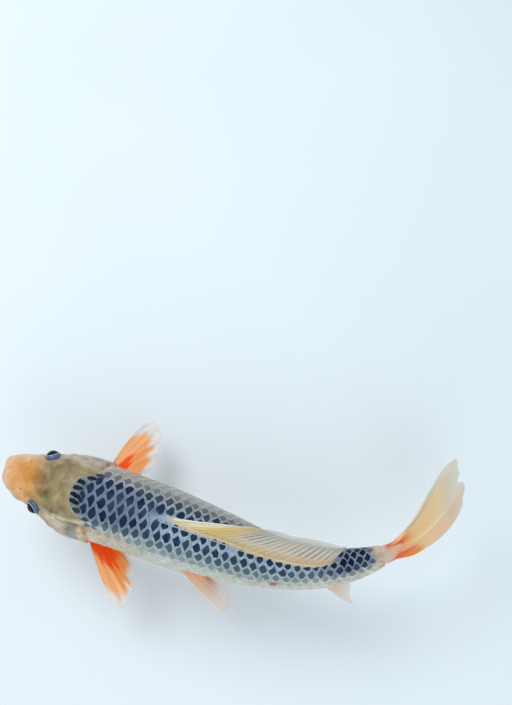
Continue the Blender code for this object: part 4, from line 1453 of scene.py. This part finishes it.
# ---------------------------------------------------------------- the stand
def stand_materials():
    n = Nodes("stand_white")
    speckle = n.noise(1200, 2)
    white = n.finish(
        Base_Color=n.blend(n.ramp(speckle, 0.4, 0.6), rgb(226, 228, 228), rgb(234, 236, 236)),
        Roughness=n.ramp(n.noise(60, 2), 0.3, 0.7, 0.30, 0.38),
        Normal=n.relief(speckle, 0.00004, 0.3),
    )
    n = Nodes("stand_steel")
    stretched = n.add("Mapping", Vector=n.place(), Scale=(1.0, 1.0, 0.02)).outputs[0]
    grain = n.noise(4000, 2, vector=stretched)
    steel = n.finish(
        Base_Color=n.blend(grain, rgb(176, 178, 182), rgb(206, 208, 210)),
        Metallic=1.0,
        Roughness=n.ramp(grain, 0.3, 0.7, 0.24, 0.36),
        Normal=n.relief(grain, 0.00002, 0.4),
    )
    for name, material in (("base", white), ("rod_front", steel), ("rod_rear", steel)):
        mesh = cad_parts[f"stand_{name}"].data
        mesh.materials.clear()
        mesh.materials.append(material)
    return steel


# Outline of a collar in millimetres: from the rod's axis, and above the board
COLLAR = (
    (2.6, 0.0), (5.8, 0.0), (6.2, 0.4), (6.2, 1.6), (5.6, 2.4), (4.0, 3.0), (3.4, 4.2), (3.0, 4.8),
    (2.6, 4.8),
)
COLLAR_ROUND = 48


def make_collars(steel):
    """A small turned collar where each rod enters the board."""
    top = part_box("stand_base")[1].z
    faces = ring_faces(len(COLLAR), COLLAR_ROUND, looped=True)
    for name in ("front", "rear"):
        low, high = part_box(f"stand_rod_{name}")
        x, y = (low.x + high.x) / 2, (low.y + high.y) / 2
        points = []
        for out, above in COLLAR:
            for t in circle(COLLAR_ROUND):
                r, z = out / 1000, above / 1000
                points.append((x + r * math.cos(t), y + r * math.sin(t), top + z))
        made = make_mesh(f"stand_collar_{name}", points, faces, steel)
        dress(made, "stand_steel")


# ---------------------------------------------------------------- floor, light and camera
FLOOR_HALF = 3.0
LIGHT_AIM = (0.05, 0.0, 0.05)
# Name, place, size, power and colour
LIGHTS = (
    ("key", (-0.45, 0.55, 1.1), 0.7, 6.6, (1.0, 1.0, 1.0)),
    ("fill", (0.3, -0.8, 1.0), 0.9, 2.6, (0.95, 0.98, 1.0)),
)
SKY_COLOUR, SKY_STRENGTH = (0.88, 0.95, 1.0, 1.0), 0.74
CAMERA_PLACE = (0.0740, -0.0522, 0.8674)
CAMERA_ELEVATION = math.radians(78)
CAMERA_SENSOR = 36.0
CAMERA_FIELD = math.radians(34)  # upright field of view


def make_floor():
    n = Nodes("floor_pale")
    shade = n.blend(n.ramp(n.noise(3, 2), 0.35, 0.65), rgb(222, 232, 237), rgb(226, 235, 240))
    material = n.finish(Base_Color=shade, Roughness=0.6)
    corners = ((-1, -1, 0), (1, -1, 0), (1, 1, 0), (-1, 1, 0))
    made = make_mesh("floor", np.array(corners) * FLOOR_HALF, [[0, 1, 2, 3]], material)


def make_light():
    world = bpy.data.worlds.new("studio")
    bpy.context.scene.world = world
    world.use_nodes = True
    background = world.node_tree.nodes["Background"]
    background.inputs["Color"].default_value = SKY_COLOUR
    background.inputs["Strength"].default_value = SKY_STRENGTH
    for name, place, size, power, colour in LIGHTS:
        light = bpy.data.lights.new(name, "AREA")
        light.shape = "DISK"
        light.size = size
        light.energy = power
        light.color = colour
        lamp = bpy.data.objects.new(name, light)
        lamp.location = place
        way = Vector(LIGHT_AIM) - Vector(place)
        lamp.rotation_euler = way.to_track_quat("-Z", "Y").to_euler()
        bpy.context.scene.collection.objects.link(lamp)
    bpy.context.scene.view_settings.view_transform = "Standard"


def make_camera():
    camera = bpy.data.cameras.new("camera")
    camera.sensor_fit = "VERTICAL"
    camera.sensor_height = CAMERA_SENSOR
    camera.lens = CAMERA_SENSOR / 2 / math.tan(CAMERA_FIELD / 2)
    holder = bpy.data.objects.new("camera", camera)
    holder.location = CAMERA_PLACE
    holder.rotation_euler = (math.pi / 2 - CAMERA_ELEVATION, 0, 0)
    bpy.context.scene.collection.objects.link(holder)
    bpy.context.scene.camera = holder


make_camera()
make_skin(skin_material())
make_scales(scale_material())
make_fins()
make_eyes()
make_barbels()
make_collars(stand_materials())
make_floor()
make_light()
